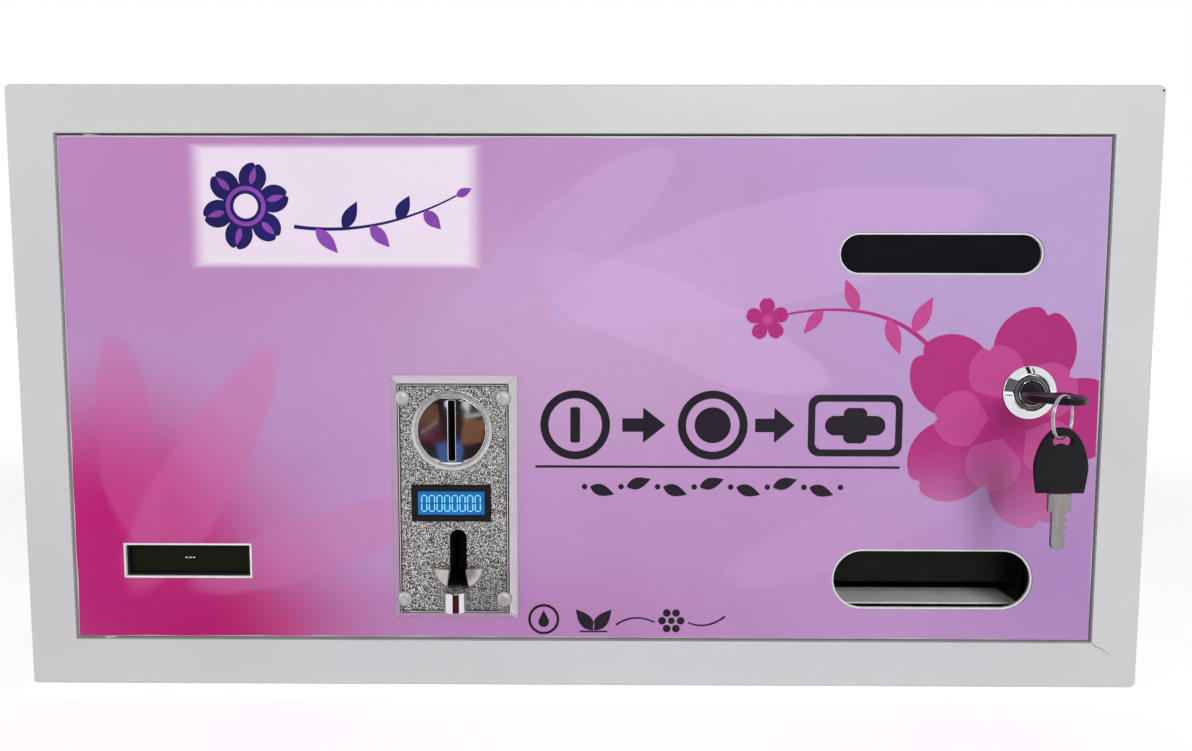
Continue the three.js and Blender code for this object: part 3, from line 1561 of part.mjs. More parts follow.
function buildKeys(lock) {
  const key = new THREE.Group();
  key.position.set(0, -keyOutreach, 0);
  key.rotation.x = quarterTurn;
  lock.add(key);
  addKey(key, "key");

  const holeY = -keyOutreach - (bowLength - bowRim - bowHoleHeight * half);
  const turn = keyRingTurnShare * Math.PI;
  const centreX = -keyRingReach * Math.cos(turn);
  const centreY = holeY - keyRingReach * Math.sin(turn);
  const inner = keyRingRadius - keyRingWireRadius;
  const rimOffset = keyRingReach - rimReach;
  const rise = Math.sqrt(inner * inner - rimOffset * rimOffset);
  const centreZ = bowThickness * half + seatGap - rise;
  const ring = new THREE.Group();
  ring.position.set(centreX, centreY, centreZ);
  ring.rotation.z = turn;
  lock.add(ring);
  const torus = new THREE.TorusGeometry(keyRingRadius, keyRingWireRadius, arcSteps, fineSides);
  torus.rotateX(quarterTurn);
  piece("key_ring", solidOf(torus), steel, ring);

  const spare = new THREE.Group();
  const throughHole = (bowThickness * half + keyRingWireRadius) / Math.sin(turn);
  const holeTop = centreZ - Math.sqrt(inner * inner - throughHole * throughHole) + seatGap;
  spare.position.set(centreX, centreY, holeTop + bowRim - bowLength);
  lock.add(spare);
  addKey(spare, "spare_key");
}

const machine = new THREE.Group();
machine.name = "sanitary_napkin_vending_machine";
const cabinet = new THREE.Group();
cabinet.position.set(-cabinetWidth * half, -cabinetDepth, -cabinetHeight * half);
machine.add(cabinet);

buildShell(cabinet);
buildBackPanel(cabinet);
buildHinges(cabinet);
buildGrommet(cabinet);
buildTray(cabinet);
buildMotor(cabinet);
buildSpiral(cabinet);
buildChute(cabinet);
buildPowerSupply(cabinet);
buildController(cabinet);
buildCoinBox(cabinet);

const door = new THREE.Group();
cabinet.add(door);
buildDoorPanel(door);
buildWindow(door);
buildTextDisplay(door);
buildAcceptor(door);
const lockGroup = buildLockHousing(door);
buildPlug(lockGroup);
buildKeys(lockGroup);

export default machine;
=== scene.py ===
"""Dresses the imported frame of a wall-mounted sanitary napkin vending machine.

The machine is a white powder-coated sheet-steel cabinet with a hinged, printed front door. The door
carries a cast coin acceptor, a text display, a viewing window, a dispensing slot and a cam lock with
its keys. A motor-driven spiral dispenser, a delivery chute, a coin box and the electronics stand inside.

Sizes are in cabinet millimetres: X from the left end, Y from the front frame's face towards the wall and
Z from the underside. The frame is in metres, with its origin at the centre of the back panel's rear face.
"""

from __future__ import annotations

import json
import logging
import math
from contextlib import contextmanager
from dataclasses import dataclass, field, replace
from enum import Enum
from typing import Callable, ClassVar, Iterable, Iterator, Sequence

import bmesh
import bpy
from bpy.types import Material, Mesh, Node, NodeSocket, NodeTree, Object
from mathutils import Matrix, Vector, noise

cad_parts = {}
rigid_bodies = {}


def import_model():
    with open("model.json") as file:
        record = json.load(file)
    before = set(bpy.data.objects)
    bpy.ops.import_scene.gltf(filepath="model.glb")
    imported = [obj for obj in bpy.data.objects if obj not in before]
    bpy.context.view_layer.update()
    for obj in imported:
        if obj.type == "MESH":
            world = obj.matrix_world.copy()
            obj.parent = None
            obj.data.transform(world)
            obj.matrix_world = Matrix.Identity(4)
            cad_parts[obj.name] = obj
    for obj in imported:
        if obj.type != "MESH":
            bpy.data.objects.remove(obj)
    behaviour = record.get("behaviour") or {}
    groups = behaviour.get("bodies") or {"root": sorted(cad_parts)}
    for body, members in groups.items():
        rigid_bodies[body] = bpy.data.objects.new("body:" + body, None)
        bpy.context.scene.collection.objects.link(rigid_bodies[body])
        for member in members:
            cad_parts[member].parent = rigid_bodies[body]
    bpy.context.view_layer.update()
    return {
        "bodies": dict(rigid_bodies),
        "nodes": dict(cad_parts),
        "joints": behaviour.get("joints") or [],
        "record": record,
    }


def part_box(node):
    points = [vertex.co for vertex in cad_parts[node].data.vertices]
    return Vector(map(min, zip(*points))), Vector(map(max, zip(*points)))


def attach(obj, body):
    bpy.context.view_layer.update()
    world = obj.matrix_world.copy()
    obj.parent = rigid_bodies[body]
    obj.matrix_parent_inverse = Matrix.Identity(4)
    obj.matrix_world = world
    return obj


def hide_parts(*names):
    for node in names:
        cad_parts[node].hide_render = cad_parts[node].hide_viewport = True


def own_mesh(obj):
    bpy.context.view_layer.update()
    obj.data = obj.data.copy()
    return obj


LOG = logging.getLogger("vending_machine")

# One millimetre in the frame's metres, the frame's origin in cabinet millimetres, and the photograph's width.
MM = 0.001
CABINET_ZERO = Vector((300.0, 200.0, 160.0))
PHOTO_WIDTH = 1192

Point = tuple[float, float]
Loop = list[Point]
Links = dict[str | int, object]


class Body(Enum):
    """The moving bodies of the frame that pieces ride on."""

    CABINET = "cabinet"
    DOOR = "door"
    LOCK = "lock"
    KEY = "key"
    RING = "ring"
    SPARE_KEY = "spare_key"
    BUTTON = "button"
    GATE = "gate"
    SPIRAL = "spiral"
    FLAP = "flap"
    CASH_BOX = "cash_box"


class Axis(Enum):
    """How a shape made about its own Z axis is turned to lie along a cabinet axis."""

    Y = Matrix.Rotation(math.radians(-90), 4, "X")
    FRONT = Matrix.Rotation(math.radians(90), 4, "X")
    Z = Matrix.Identity(4)


def row(x: float, y: float, z: float) -> Vector:
    """Turns cabinet millimetres (from the left end, behind the front, above the underside) into the frame's metres."""
    return (Vector((x, y, z)) - CABINET_ZERO) * MM


def node_box(node: str) -> tuple[Vector, Vector]:
    """Returns a node's lowest and highest corners in cabinet millimetres."""
    low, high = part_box(node)
    return low / MM + CABINET_ZERO, high / MM + CABINET_ZERO


def linear(hex_colour: str) -> tuple[float, float, float, float]:
    """Turns an sRGB hex colour into a linear colour with full alpha.

    Args:
        hex_colour: six hex digits after a hash sign.

    Returns:
        Red, green and blue in linear light, and alpha 1.
    """
    parts = [int(hex_colour[i : i + 2], 16) / 255 for i in (1, 3, 5)]
    light = [c / 12.92 if c <= 0.04045 else ((c + 0.055) / 1.055) ** 2.4 for c in parts]
    return (light[0], light[1], light[2], 1.0)


def add_node(tree: NodeTree, kind: str, links: Links | None = None, **settings: object) -> Node:
    """Adds one node with its settings and links.

    Args:
        tree: the node tree that gets the node.
        kind: the node's type name.
        links: for each input, by name or number, a socket, a node with one output in use, or a plain value.
        settings: properties of the node.

    Returns:
        The new node.
    """
    node = tree.nodes.new(kind)
    for name, value in settings.items():
        setattr(node, name, value)
    for key, value in (links or {}).items():
        if isinstance(value, Node):
            value = next(socket for socket in value.outputs if socket.enabled)
        if isinstance(value, NodeSocket):
            tree.links.new(value, node.inputs[key])
        else:
            node.inputs[key].default_value = value
    return node


def show(name: str, data: bpy.types.ID) -> Object:
    """Makes an object of a mesh, lamp or camera and puts it in the scene.

    Args:
        name: the object's name.
        data: its mesh, lamp or camera.

    Returns:
        The object.
    """
    shown = bpy.data.objects.new(name, data)
    bpy.context.scene.collection.objects.link(shown)
    return shown


# Shapes


@dataclass
class Shape:
    """Corners in cabinet millimetres and the faces between them."""

    corners: list[Vector] = field(default_factory=list)
    faces: list[tuple[int, ...]] = field(default_factory=list)

    def moved(self, matrix: Matrix) -> Shape:
        """Returns a copy with every corner carried by the matrix."""
        return Shape([matrix @ c for c in self.corners], list(self.faces))

    def at(self, x: float, y: float, z: float, axis: Axis = Axis.Z) -> Shape:
        """Returns a copy laid along an axis and moved to a place in cabinet millimetres."""
        return self.moved(Matrix.Translation((x, y, z)) @ axis.value)


def together(shapes: Iterable[Shape]) -> Shape:
    """Returns several shapes as one.

    Args:
        shapes: the shapes to put together.

    Returns:
        One shape with all corners and faces.
    """
    whole = Shape()
    for shape in shapes:
        shift = len(whole.corners)
        whole.corners += shape.corners
        whole.faces += [tuple(i + shift for i in face) for face in shape.faces]
    return whole


def lathe(profile: Sequence[Point], sides: int = 96, ring: bool = False) -> Shape:
    """Turns a profile about the Z axis.

    Args:
        profile: radius and height of each step, from one end to the other.
        sides: how many faces go round.
        ring: True joins the last step to the first, for a shape with a bore.

    Returns:
        The closed turned shape.
    """
    shape = Shape()
    rows: list[list[int]] = []
    for radius, height in profile:
        first = len(shape.corners)
        if radius < 1e-6:
            shape.corners.append(Vector((0, 0, height)))
            rows.append([first] * sides)
            continue
        for i in range(sides):
            angle = math.tau * i / sides
            shape.corners.append(Vector((radius * math.cos(angle), radius * math.sin(angle), height)))
        rows.append(list(range(first, first + sides)))
    pairs = list(zip(rows, rows[1:])) + ([(rows[-1], rows[0])] if ring else [])
    for low, high in pairs:
        for i in range(sides):
            j = (i + 1) % sides
            face = list(dict.fromkeys((low[i], low[j], high[j], high[i])))
            if len(face) > 2:
                shape.faces.append(tuple(face))
    return shape


def sweep(
    points: Sequence[Vector], radius: Callable[[float], float] | float, sides: int = 12, closed: bool = False
) -> Shape:
    """Carries a circle along a path.

    Args:
        points: the path's points in millimetres.
        radius: one radius, or a radius for each share of the path from 0 to 1.
        sides: how many faces go round.
        closed: True joins the path's end to its start.

    Returns:
        The closed tube.
    """
    count = len(points)
    size = radius if callable(radius) else (lambda share: radius)
    shape = Shape()
    normal = Vector((0, 0, 1))
    for i, point in enumerate(points):
        before = points[i - 1] if i or closed else point
        after = points[(i + 1) % count] if i + 1 < count or closed else point
        along = (after - before).normalized()
        normal = normal - along * normal.dot(along)
        if normal.length < 1e-4:
            normal = along.orthogonal()
        normal.normalize()
        side = along.cross(normal)
        reach = size(i / max(count - 1, 1))
        for k in range(sides):
            angle = math.tau * k / sides
            shape.corners.append(point + (normal * math.cos(angle) + side * math.sin(angle)) * reach)
    for i in range(count if closed else count - 1):
        j = (i + 1) % count
        for k in range(sides):
            n = (k + 1) % sides
            shape.faces.append((i * sides + k, j * sides + k, j * sides + n, i * sides + n))
    if not closed:
        shape.faces.append(tuple(range(sides)))
        shape.faces.append(tuple(range((count - 1) * sides, count * sides)))
    return shape


def polar(u: float, v: float, radius: float, angle: float) -> Point:
    """Returns the point at a distance from a centre, in a direction in degrees."""
    return u + radius * math.cos(math.radians(angle)), v + radius * math.sin(math.radians(angle))


def arc(u: float, v: float, radius: float, start: float, end: float, steps: int) -> Loop:
    """Returns points along an arc, both ends included, with its angles in degrees."""
    return [polar(u, v, radius, start + (end - start) * i / steps) for i in range(steps + 1)]


def circle(u: float, v: float, radius: float, steps: int = 96) -> Loop:
    """Returns a circle's points."""
    return arc(u, v, radius, 0, 360, steps)[:-1]


def rounded(u: float, v: float, width: float, height: float, corner: float, steps: int = 8) -> Loop:
    """Returns a rectangle with rounded corners.

    Args:
        u: centre across.
        v: centre up.
        width: size across.
        height: size up.
        corner: the corners' radius.
        steps: how many steps each corner takes.

    Returns:
        The outline's points.
    """
    a, b = width / 2 - corner, height / 2 - corner
    places = [(a, b, 0), (-a, b, 90), (-a, -b, 180), (a, -b, 270)]
    return [p for x, z, turn in places for p in arc(u + x, v + z, corner, turn, turn + 90, steps)]


def slabs(
    loops: Sequence[Loop], front: float, back: float, rounding: float = 0.0, axis: Axis = Axis.FRONT
) -> Shape:
    """Makes one or more plates from loops, where a loop inside another is its hole.

    Args:
        loops: outlines in X and Z, or in X and Y where the axis is Z.
        front: Y of the front faces, or the lower Z.
        back: Y of the rear faces, or the upper Z.
        rounding: radius of the rounded edges.
        axis: FRONT for plates that face the front, Z for outlines carried upwards.

    Returns:
        The plates as one shape.
    """
    curve = bpy.data.curves.new("outline", "CURVE")
    curve.dimensions, curve.fill_mode = "2D", "BOTH"
    curve.extrude = (back - front) / 2 - rounding
    curve.bevel_depth, curve.bevel_resolution, curve.offset = rounding, 2, -rounding
    for loop in loops:
        spline = curve.splines.new("POLY")
        spline.points.add(len(loop) - 1)
        for point, (u, v) in zip(spline.points, loop):
            point.co = (u, v, 0, 1)
        spline.use_cyclic_u = True
    holder = bpy.data.objects.new("outline", curve)
    mesh = bpy.data.meshes.new_from_object(holder)
    middle = (front + back) / 2
    stand = Matrix.Translation((0, 0, middle) if axis is Axis.Z else (0, middle, 0)) @ axis.value
    shape = Shape([stand @ v.co for v in mesh.vertices], [tuple(p.vertices) for p in mesh.polygons])
    bpy.data.objects.remove(holder)
    bpy.data.curves.remove(curve)
    bpy.data.meshes.remove(mesh)
    return shape


def box(x0: float, x1: float, y0: float, y1: float, z0: float, z1: float) -> Shape:
    """Returns a block between two corners in cabinet millimetres."""
    faces = [(0, 2, 3, 1), (4, 5, 7, 6), (0, 1, 5, 4), (2, 6, 7, 3), (0, 4, 6, 2), (1, 3, 7, 5)]
    return Shape([Vector((x, y, z)) for z in (z0, z1) for y in (y0, y1) for x in (x0, x1)], faces)


@dataclass(frozen=True)
class Opening:
    """A cut-out of the door: its centre and its size in millimetres."""

    x: float
    z: float
    width: float
    height: float

    def outline(self, grow: float, corner: float, steps: int) -> Loop:
        """Returns the cut-out's outline, wider and higher by grow, with rounded corners."""
        return rounded(self.x, self.z, self.width + grow, self.height + grow, corner, steps)


# The door's two slots, its display window and the acceptor's cut-out, and the axis of the lock.
WINDOW = Opening(487.2, 233.5, 105.3, 20.3)
OUTLET = Opening(487.8, 59.7, 106.0, 31.3)
DISPLAY = Opening(87.0, 68.5, 67.4, 17.3)
ACCEPTOR = Opening(231.75, 103.65, 44.6, 112.6)
LOCK_X, LOCK_Z = 535.5, 161.0


# Finishes


def blank_material(title: str) -> tuple[Material, NodeTree, NodeSocket]:
    """Starts a material.

    Args:
        title: the material's name.

    Returns:
        The material, its node tree and the Object coordinates in it.
    """
    made = bpy.data.materials.new(title)
    made.use_nodes = True
    made.node_tree.nodes.clear()
    return made, made.node_tree, add_node(made.node_tree, "ShaderNodeTexCoord").outputs["Object"]


# The range in which nearly all values of a noise pattern lie.
MIDDLE = (0.3, 0.7)


@dataclass(frozen=True)
class Skin:
    """The nodes of one finish, with the Object coordinates that its patterns read."""

    tree: NodeTree
    place: NodeSocket
    stretch: tuple[float, float, float]

    def add(self, kind: str, links: Links, **settings: object) -> Node:
        """Adds one node to the finish, as add_node does."""
        return add_node(self.tree, kind, links, **settings)

    def spots(self, size_mm: float, detail: float) -> Node:
        """Makes an uneven pattern from 0 to 1.

        Args:
            size_mm: the size of a spot.
            detail: how many finer layers it has.

        Returns:
            The node that gives it.
        """
        scaled = self.add("ShaderNodeMapping", {"Vector": self.place, "Scale": self.stretch})
        links = {"Vector": scaled, "Scale": 1 / (size_mm * MM), "Detail": detail, "Roughness": 0.55}
        return self.add("ShaderNodeTexNoise", links)

    def patches(self, size_mm: float, low: float, high: float, detail: float = 3.0) -> Node:
        """Makes patches of about one size, whose middle range is stretched to two limits."""
        links = {"From Min": MIDDLE[0], "From Max": MIDDLE[1], "To Min": low, "To Max": high}
        return self.add("ShaderNodeMapRange", {"Value": self.spots(size_mm, detail)} | links)

    def grain(self, size_mm: float, height_mm: float, detail: float = 2.0, **under: Node) -> Node:
        """Makes an uneven relief of a real height, over a coarser one where that is given as Normal."""
        links = {"Height": self.spots(size_mm, detail), "Distance": height_mm * MM, "Strength": 1.0}
        return self.add("ShaderNodeBump", links | under)


@dataclass(frozen=True)
class Mask:
    """A soft-edged shape on the machine's front, in cabinet millimetres, used to tell zones of a finish apart."""

    x: float
    z: float
    half_x: float
    half_z: float
    turn: float = 0.0
    soft: float = 0.1
    square: bool = False

    def build(self, skin: Skin, place: NodeSocket | Node) -> Node:
        """Builds the mask's nodes.

        Args:
            skin: the nodes of the finish.
            place: the coordinates, straight or bent.

        Returns:
            A node that gives 1 inside the shape and 0 outside it.
        """
        links = {
            "Vector": place,
            "Location": row(self.x, 0, self.z),
            "Rotation": (0, -math.radians(self.turn), 0),
            "Scale": (self.half_x * MM, 1000, self.half_z * MM),
        }
        placed = skin.add("ShaderNodeMapping", links, vector_type="TEXTURE")
        if self.square:
            parts = skin.add("ShaderNodeSeparateXYZ", {0: placed}).outputs
            across, up = (skin.add("ShaderNodeMath", {0: parts[axis]}, operation="ABSOLUTE") for axis in "XZ")
            far = skin.add("ShaderNodeMath", {0: across, 1: up}, operation="MAXIMUM")
        else:
            far = skin.add("ShaderNodeVectorMath", {0: placed}, operation="LENGTH")
        near = {"Value": far, "From Min": 1.0, "From Max": 1.0 - self.soft, "To Min": 0.0, "To Max": 1.0}
        return skin.add("ShaderNodeMapRange", near, interpolation_type="SMOOTHSTEP")


@dataclass(frozen=True)
class Finish:
    """A surface finish with uneven tone, a fine grain and uneven gloss."""

    title: str
    colour: str
    roughness: float = 0.5
    metallic: float = 0.0
    mottle_mm: float = 40.0
    mottle_share: float = 0.05
    grain_mm: float = 1.0
    grain_height_mm: float = 0.02
    gloss_spread: float = 0.08
    stretch: tuple[float, float, float] = (1.0, 1.0, 1.0)
    gloss: float = 0.5

    def material(self) -> Material:
        """Makes the finish's material on first use.

        Returns:
            The material.
        """
        found = bpy.data.materials.get(self.title)
        if found:
            return found
        made, tree, place = blank_material(self.title)
        looks = self.looks(Skin(tree, place, self.stretch))
        links = {"Metallic": self.metallic, "Specular IOR Level": self.gloss} | looks
        add_node(tree, "ShaderNodeOutputMaterial", {0: add_node(tree, "ShaderNodeBsdfPrincipled", links)})
        made.diffuse_color = linear(self.colour)
        return made

    def toned(self, skin: Skin, base: object) -> Node:
        """Darkens and lightens a colour unevenly by the finish's mottle.

        Args:
            skin: the nodes of the finish.
            base: the even colour.

        Returns:
            A node that gives the uneven colour.
        """
        tone = skin.patches(self.mottle_mm, 1 - self.mottle_share, 1 + self.mottle_share * 0.4)
        grey = skin.add("ShaderNodeCombineColor", {0: tone, 1: tone, 2: tone})
        return skin.add("ShaderNodeMix", {0: 1.0, 6: base, 7: grey}, data_type="RGBA", blend_type="MULTIPLY")

    def worn(self, skin: Skin, size_mm: float, detail: float = 3.0) -> Node:
        """Makes the roughness uneven about its mean, in patches of a size."""
        low = max(self.roughness - self.gloss_spread, 0.02)
        return skin.patches(size_mm, low, self.roughness + self.gloss_spread, detail)

    def looks(self, skin: Skin) -> Links:
        """Makes the finish's colour, gloss and relief.

        Args:
            skin: the nodes of the finish.

        Returns:
            What goes into the shader's inputs.
        """
        return {
            "Base Color": self.toned(skin, linear(self.colour)),
            "Roughness": self.worn(skin, self.mottle_mm * 0.6),
            "Normal": skin.grain(self.grain_mm, self.grain_height_mm),
        }


# Powder coat on folded sheet steel: satin white with a faint orange peel and a slightly uneven tone.
POWDER_COAT = Finish("powder_coated_steel", "#cfcfd1", 0.36, 0.0, 90, 0.03, 1.7, 0.012, 0.05)
# Galvanised sheet: dull grey with faint crystals, seen as soft patches of lighter and darker metal.
GALVANISED = Finish("galvanised_steel_sheet", "#b6b9ba", 0.45, 0.45, 9, 0.2, 2.5, 0.01, 0.12)
# Pale paint on the landing, made near white as painted light for the light that falls through the slot: a soft sheen
# under a film of dust.
PALE_LIT_SHEET = Finish("pale_painted_sheet", "#f6f7f3", 0.45, 0.0, 12, 0.1, 2.0, 0.01, 0.1)
# Black stoved paint on thin sheet, even and nearly matt: painted shade, so that the inside of the slot shows dark on
# the chute, the flap and its rod.
BLACK_SHADE_SHEET = Finish("black_painted_sheet", "#121213", 0.5, 0.0, 15, 0.2, 0.8, 0.01, 0.08, gloss=0.16)
# Bare cut edge of white painted sheet: bright and slightly chipped.
PALE_EDGE = Finish("white_painted_edge", "#f1f1f0", 0.4, 0.0, 3, 0.12, 0.5, 0.01, 0.08)
# Bright steel wire and turned parts: fine drawing marks along the piece.
BRIGHT_STEEL = Finish("drawn_bright_steel", "#b9b9bb", 0.26, 1.0, 14, 0.12, 0.35, 0.006, 0.08)
# Injection-moulded ABS in black: fine spark-eroded grain and a soft sheen.
BLACK_ABS = Finish("moulded_black_abs", "#141318", 0.42, 0.0, 12, 0.18, 0.45, 0.02, 0.07, gloss=0.16)
# Moulded blue plastic of the relay and the gate: even colour with a soft sheen.
BLUE_PLASTIC = Finish("moulded_blue_plastic", "#2457a8", 0.38, 0.0, 14, 0.1, 0.5, 0.012, 0.06)
# Vulcanised rubber: matt black with a dusty bloom.
RUBBER = Finish("vulcanised_rubber", "#1d1d1f", 0.75, 0.0, 6, 0.25, 0.6, 0.03, 0.1, gloss=0.2)
# Turned nylon bushes: milky off-white and waxy.
NYLON = Finish("turned_nylon", "#e6e3da", 0.5, 0.0, 8, 0.06, 0.5, 0.01, 0.05)
# Thick print ink: near black with a violet cast and a slight sheen.
PRINT_INK = Finish("printed_ink", "#1a1120", 0.33, 0.0, 20, 0.1, 1.2, 0.004, 0.04, gloss=0.22)


@dataclass(frozen=True)
class Zone:
    """One printed colour laid over the print's ground."""

    mask: Mask
    colour: str
    share: float = 1.0


@dataclass(frozen=True)
class PrintedVinyl(Finish):
    """Digitally printed vinyl under a satin film, with soft colour zones and faint bubbles under it."""

    zones: tuple[Zone, ...] = ()
    warp_mm: float = 7.0
    warp_size_mm: float = 60.0
    bubble_mm: float = 26.0
    bubble_height_mm: float = 0.05

    def looks(self, skin: Skin) -> Links:
        """Makes the printed zones and the film's relief.

        Args:
            skin: the nodes of the finish.

        Returns:
            What goes into the shader's inputs.
        """
        links = {"Vector": skin.place, "Scale": 1 / (self.warp_size_mm * MM), "Detail": 1.0}
        wander = skin.add("ShaderNodeTexNoise", links).outputs["Color"]
        middle = skin.add("ShaderNodeVectorMath", {0: wander, 1: (0.5, 0.5, 0.5)}, operation="SUBTRACT")
        shift = skin.add("ShaderNodeVectorMath", {0: middle, "Scale": self.warp_mm * MM * 2}, operation="SCALE")
        bent = skin.add("ShaderNodeVectorMath", {0: skin.place, 1: shift})
        colour: object = linear(self.colour)
        for zone in self.zones:
            inside = zone.mask.build(skin, skin.place if zone.mask.square else bent)
            share = skin.add("ShaderNodeMath", {0: inside, 1: zone.share}, operation="MULTIPLY")
            colour = skin.add("ShaderNodeMix", {0: share, 6: colour, 7: linear(zone.colour)}, data_type="RGBA")
        film = skin.grain(self.bubble_mm, self.bubble_height_mm, 1.0)
        return {
            "Base Color": self.toned(skin, colour),
            "Roughness": self.worn(skin, self.bubble_mm, 1.0),
            "Normal": skin.grain(self.grain_mm, self.grain_height_mm, Normal=film),
        }


@dataclass(frozen=True)
class HammeredZinc(Finish):
    """Die-cast zinc, plated: a bright bare rim and ring round a panel with a dark hammered grain, and a thin dark band
    of painted shade for the groove at the panel's edge.
    """

    dark: str = "#1f1e1e"
    grain_share: float = 0.95
    speck_low: float = -1.25
    speck_high: float = 1.75
    panel: Mask = Mask(ACCEPTOR.x, ACCEPTOR.z, 28.6, 60.9, 0, 0.004, True)
    bare: Mask = Mask(231.25, 140.55, 21.5, 21.5, 0, 0.02)
    groove_shade_mm: float = 0.9

    def looks(self, skin: Skin) -> Links:
        """Makes the bare and the hammered zones.

        Args:
            skin: the nodes of the finish.

        Returns:
            What goes into the shader's inputs.
        """
        specks = skin.patches(self.grain_mm, self.speck_low, self.speck_high, 1.5)
        clear = skin.add("ShaderNodeClamp", {0: specks})
        pitted = skin.add("ShaderNodeMath", {0: 1.0, 1: clear}, operation="SUBTRACT")
        wide, high = self.panel.half_x + self.groove_shade_mm, self.panel.half_z + self.groove_shade_mm
        inside = self.panel.build(skin, skin.place)
        edge = replace(self.panel, half_x=wide, half_z=high).build(skin, skin.place)
        ring = self.bare.build(skin, skin.place)
        # Painted shade: the thin band just outside the panel is mixed towards the dark colour, for the shade in the
        # groove at its edge.
        line = skin.add("ShaderNodeMath", {0: edge, 1: inside}, operation="SUBTRACT")
        around = skin.add("ShaderNodeMath", {0: inside, 1: ring}, operation="SUBTRACT", use_clamp=True)
        grained = skin.add("ShaderNodeMath", {0: pitted, 1: around}, operation="MULTIPLY")
        depth = skin.add("ShaderNodeMath", {0: grained, 1: self.grain_share}, operation="MULTIPLY")
        colour = self.toned(skin, linear(self.colour))
        for share in (depth, line):
            colour = skin.add("ShaderNodeMix", {0: share, 6: colour, 7: linear(self.dark)}, data_type="RGBA")
        level = skin.add("ShaderNodeMath", {0: 1.0, 1: grained}, operation="SUBTRACT")
        dull = {"To Min": self.roughness, "To Max": self.roughness + self.gloss_spread}
        dull |= {"Value": grained, "From Min": MIDDLE[0], "From Max": MIDDLE[1]}
        relief = {"Height": level, "Distance": self.grain_height_mm * MM, "Strength": 1.0}
        return {
            "Base Color": colour,
            "Roughness": skin.add("ShaderNodeMapRange", dull),
            "Normal": skin.add("ShaderNodeBump", relief),
        }


@dataclass(frozen=True)
class SeeThrough(Finish):
    """Cast acrylic or glass with a tint, glossy on both faces and faintly smeared."""

    transmission: float = 0.3
    index: float = 1.49

    def looks(self, skin: Skin) -> Links:
        """Adds how much light goes through and how it bends."""
        return super().looks(skin) | {"Transmission Weight": self.transmission, "IOR": self.index}


@dataclass(frozen=True)
class Lit(Finish):
    """A glowing panel: it glows in its own colour, a little unevenly from side to side; backlit on the status display,
    painted light on the dashes of the unlit text display.
    """

    glow: float = 0.6

    def looks(self, skin: Skin) -> Links:
        """Adds the glow."""
        shown = super().looks(skin)
        return shown | {"Emission Color": shown["Base Color"], "Emission Strength": self.glow}


@dataclass(frozen=True)
class CircuitBoard(Finish):
    """Glass-fibre board under green solder mask: copper tracks show through as lighter lines."""

    track: str = "#3f9a5c"
    track_pitch_mm: float = 5.0
    track_share: float = 0.09
    track_height_mm: float = 0.03

    def looks(self, skin: Skin) -> Links:
        """Makes the tracks over the mask's green.

        Args:
            skin: the nodes of the finish.

        Returns:
            What goes into the shader's inputs.
        """
        links = {"Vector": skin.place, "Scale": 1 / (self.track_pitch_mm * MM), "Randomness": 0.75}
        cells = skin.add("ShaderNodeTexVoronoi", links, feature="DISTANCE_TO_EDGE").outputs["Distance"]
        near = {"Value": cells, "From Min": 0.0, "From Max": self.track_share, "To Min": 1.0, "To Max": 0.0}
        lines = skin.add("ShaderNodeMapRange", near)
        colours = {0: lines, 6: linear(self.colour), 7: linear(self.track)}
        tracked = skin.add("ShaderNodeMix", colours, data_type="RGBA")
        raised = {"Height": lines, "Distance": self.track_height_mm * MM, "Strength": 1.0}
        return super().looks(skin) | {"Base Color": tracked, "Normal": skin.add("ShaderNodeBump", raised)}


# Brushed zinc of the return cup: pale, with fine brushing from side to side.
BRUSHED_ZINC = Finish("brushed_zinc", "#c6c4bf", 0.34, 1.0, 8, 0.12, 0.5, 0.03, 0.08, (0.07, 1.0, 1.0))
# Plated zinc where fingers and cloths polish it: bright, slightly hazy.
POLISHED_ZINC = Finish("polished_zinc", "#cbcac9", 0.24, 0.95, 6, 0.1, 0.8, 0.01, 0.06)
# Dark blackened zinc of the lock's plug, glossy from handling.
PLUG_ZINC = Finish("blackened_plug_zinc", "#262427", 0.3, 0.3, 5, 0.25, 0.4, 0.012, 0.1, gloss=0.35)
# Zinc worn dull in the lock's throat.
WORN_ZINC = Finish("worn_throat_zinc", "#6d6b6c", 0.42, 0.8, 2.5, 0.35, 0.5, 0.02, 0.12)
# Cast zinc bolt heads: pale grey and dull, with a cloudy tone.
CAST_ZINC = Finish("cast_zinc_alloy", "#bdbcb8", 0.5, 0.7, 3, 0.2, 0.8, 0.03, 0.1)
# Chrome plate: a mirror with a hair of polishing haze.
CHROME = Finish("chrome_plated_zinc", "#dfe0e3", 0.045, 1.0, 25, 0.05, 4.0, 0.0005, 0.015)
# Smoked acrylic of the viewing window: near black with a violet cast, glossy.
SMOKED_ACRYLIC = SeeThrough(
    "smoked_acrylic_sheet", "#17161d", 0.09, 0.0, 30, 0.1, 9.0, 0.01, 0.05, gloss=0.1, transmission=0.04
)
# Text display glass with its backlight off: olive black and glossy.
DISPLAY_GLASS = SeeThrough(
    "display_glass", "#141609", 0.1, 0.0, 18, 0.25, 7.0, 0.004, 0.04, gloss=0.05, transmission=0.0
)
# Unlit character cells of the text display: a shade lighter than the glass round them.
UNLIT_CELL = Finish("unlit_display_cell", "#161809", 0.16, 0.0, 5, 0.2, 2.0, 0.002, 0.04, gloss=0.06)
# Three dashes on the unlit text display: a faint pale green glow, painted light, as the display's backlight is off.
GLOW_PAINTED_CELL = Lit("faint_display_cell", "#c9cfc0", 0.3, 0.0, 4, 0.1, 1.0, 0.002, 0.04, gloss=0.2, glow=0.5)
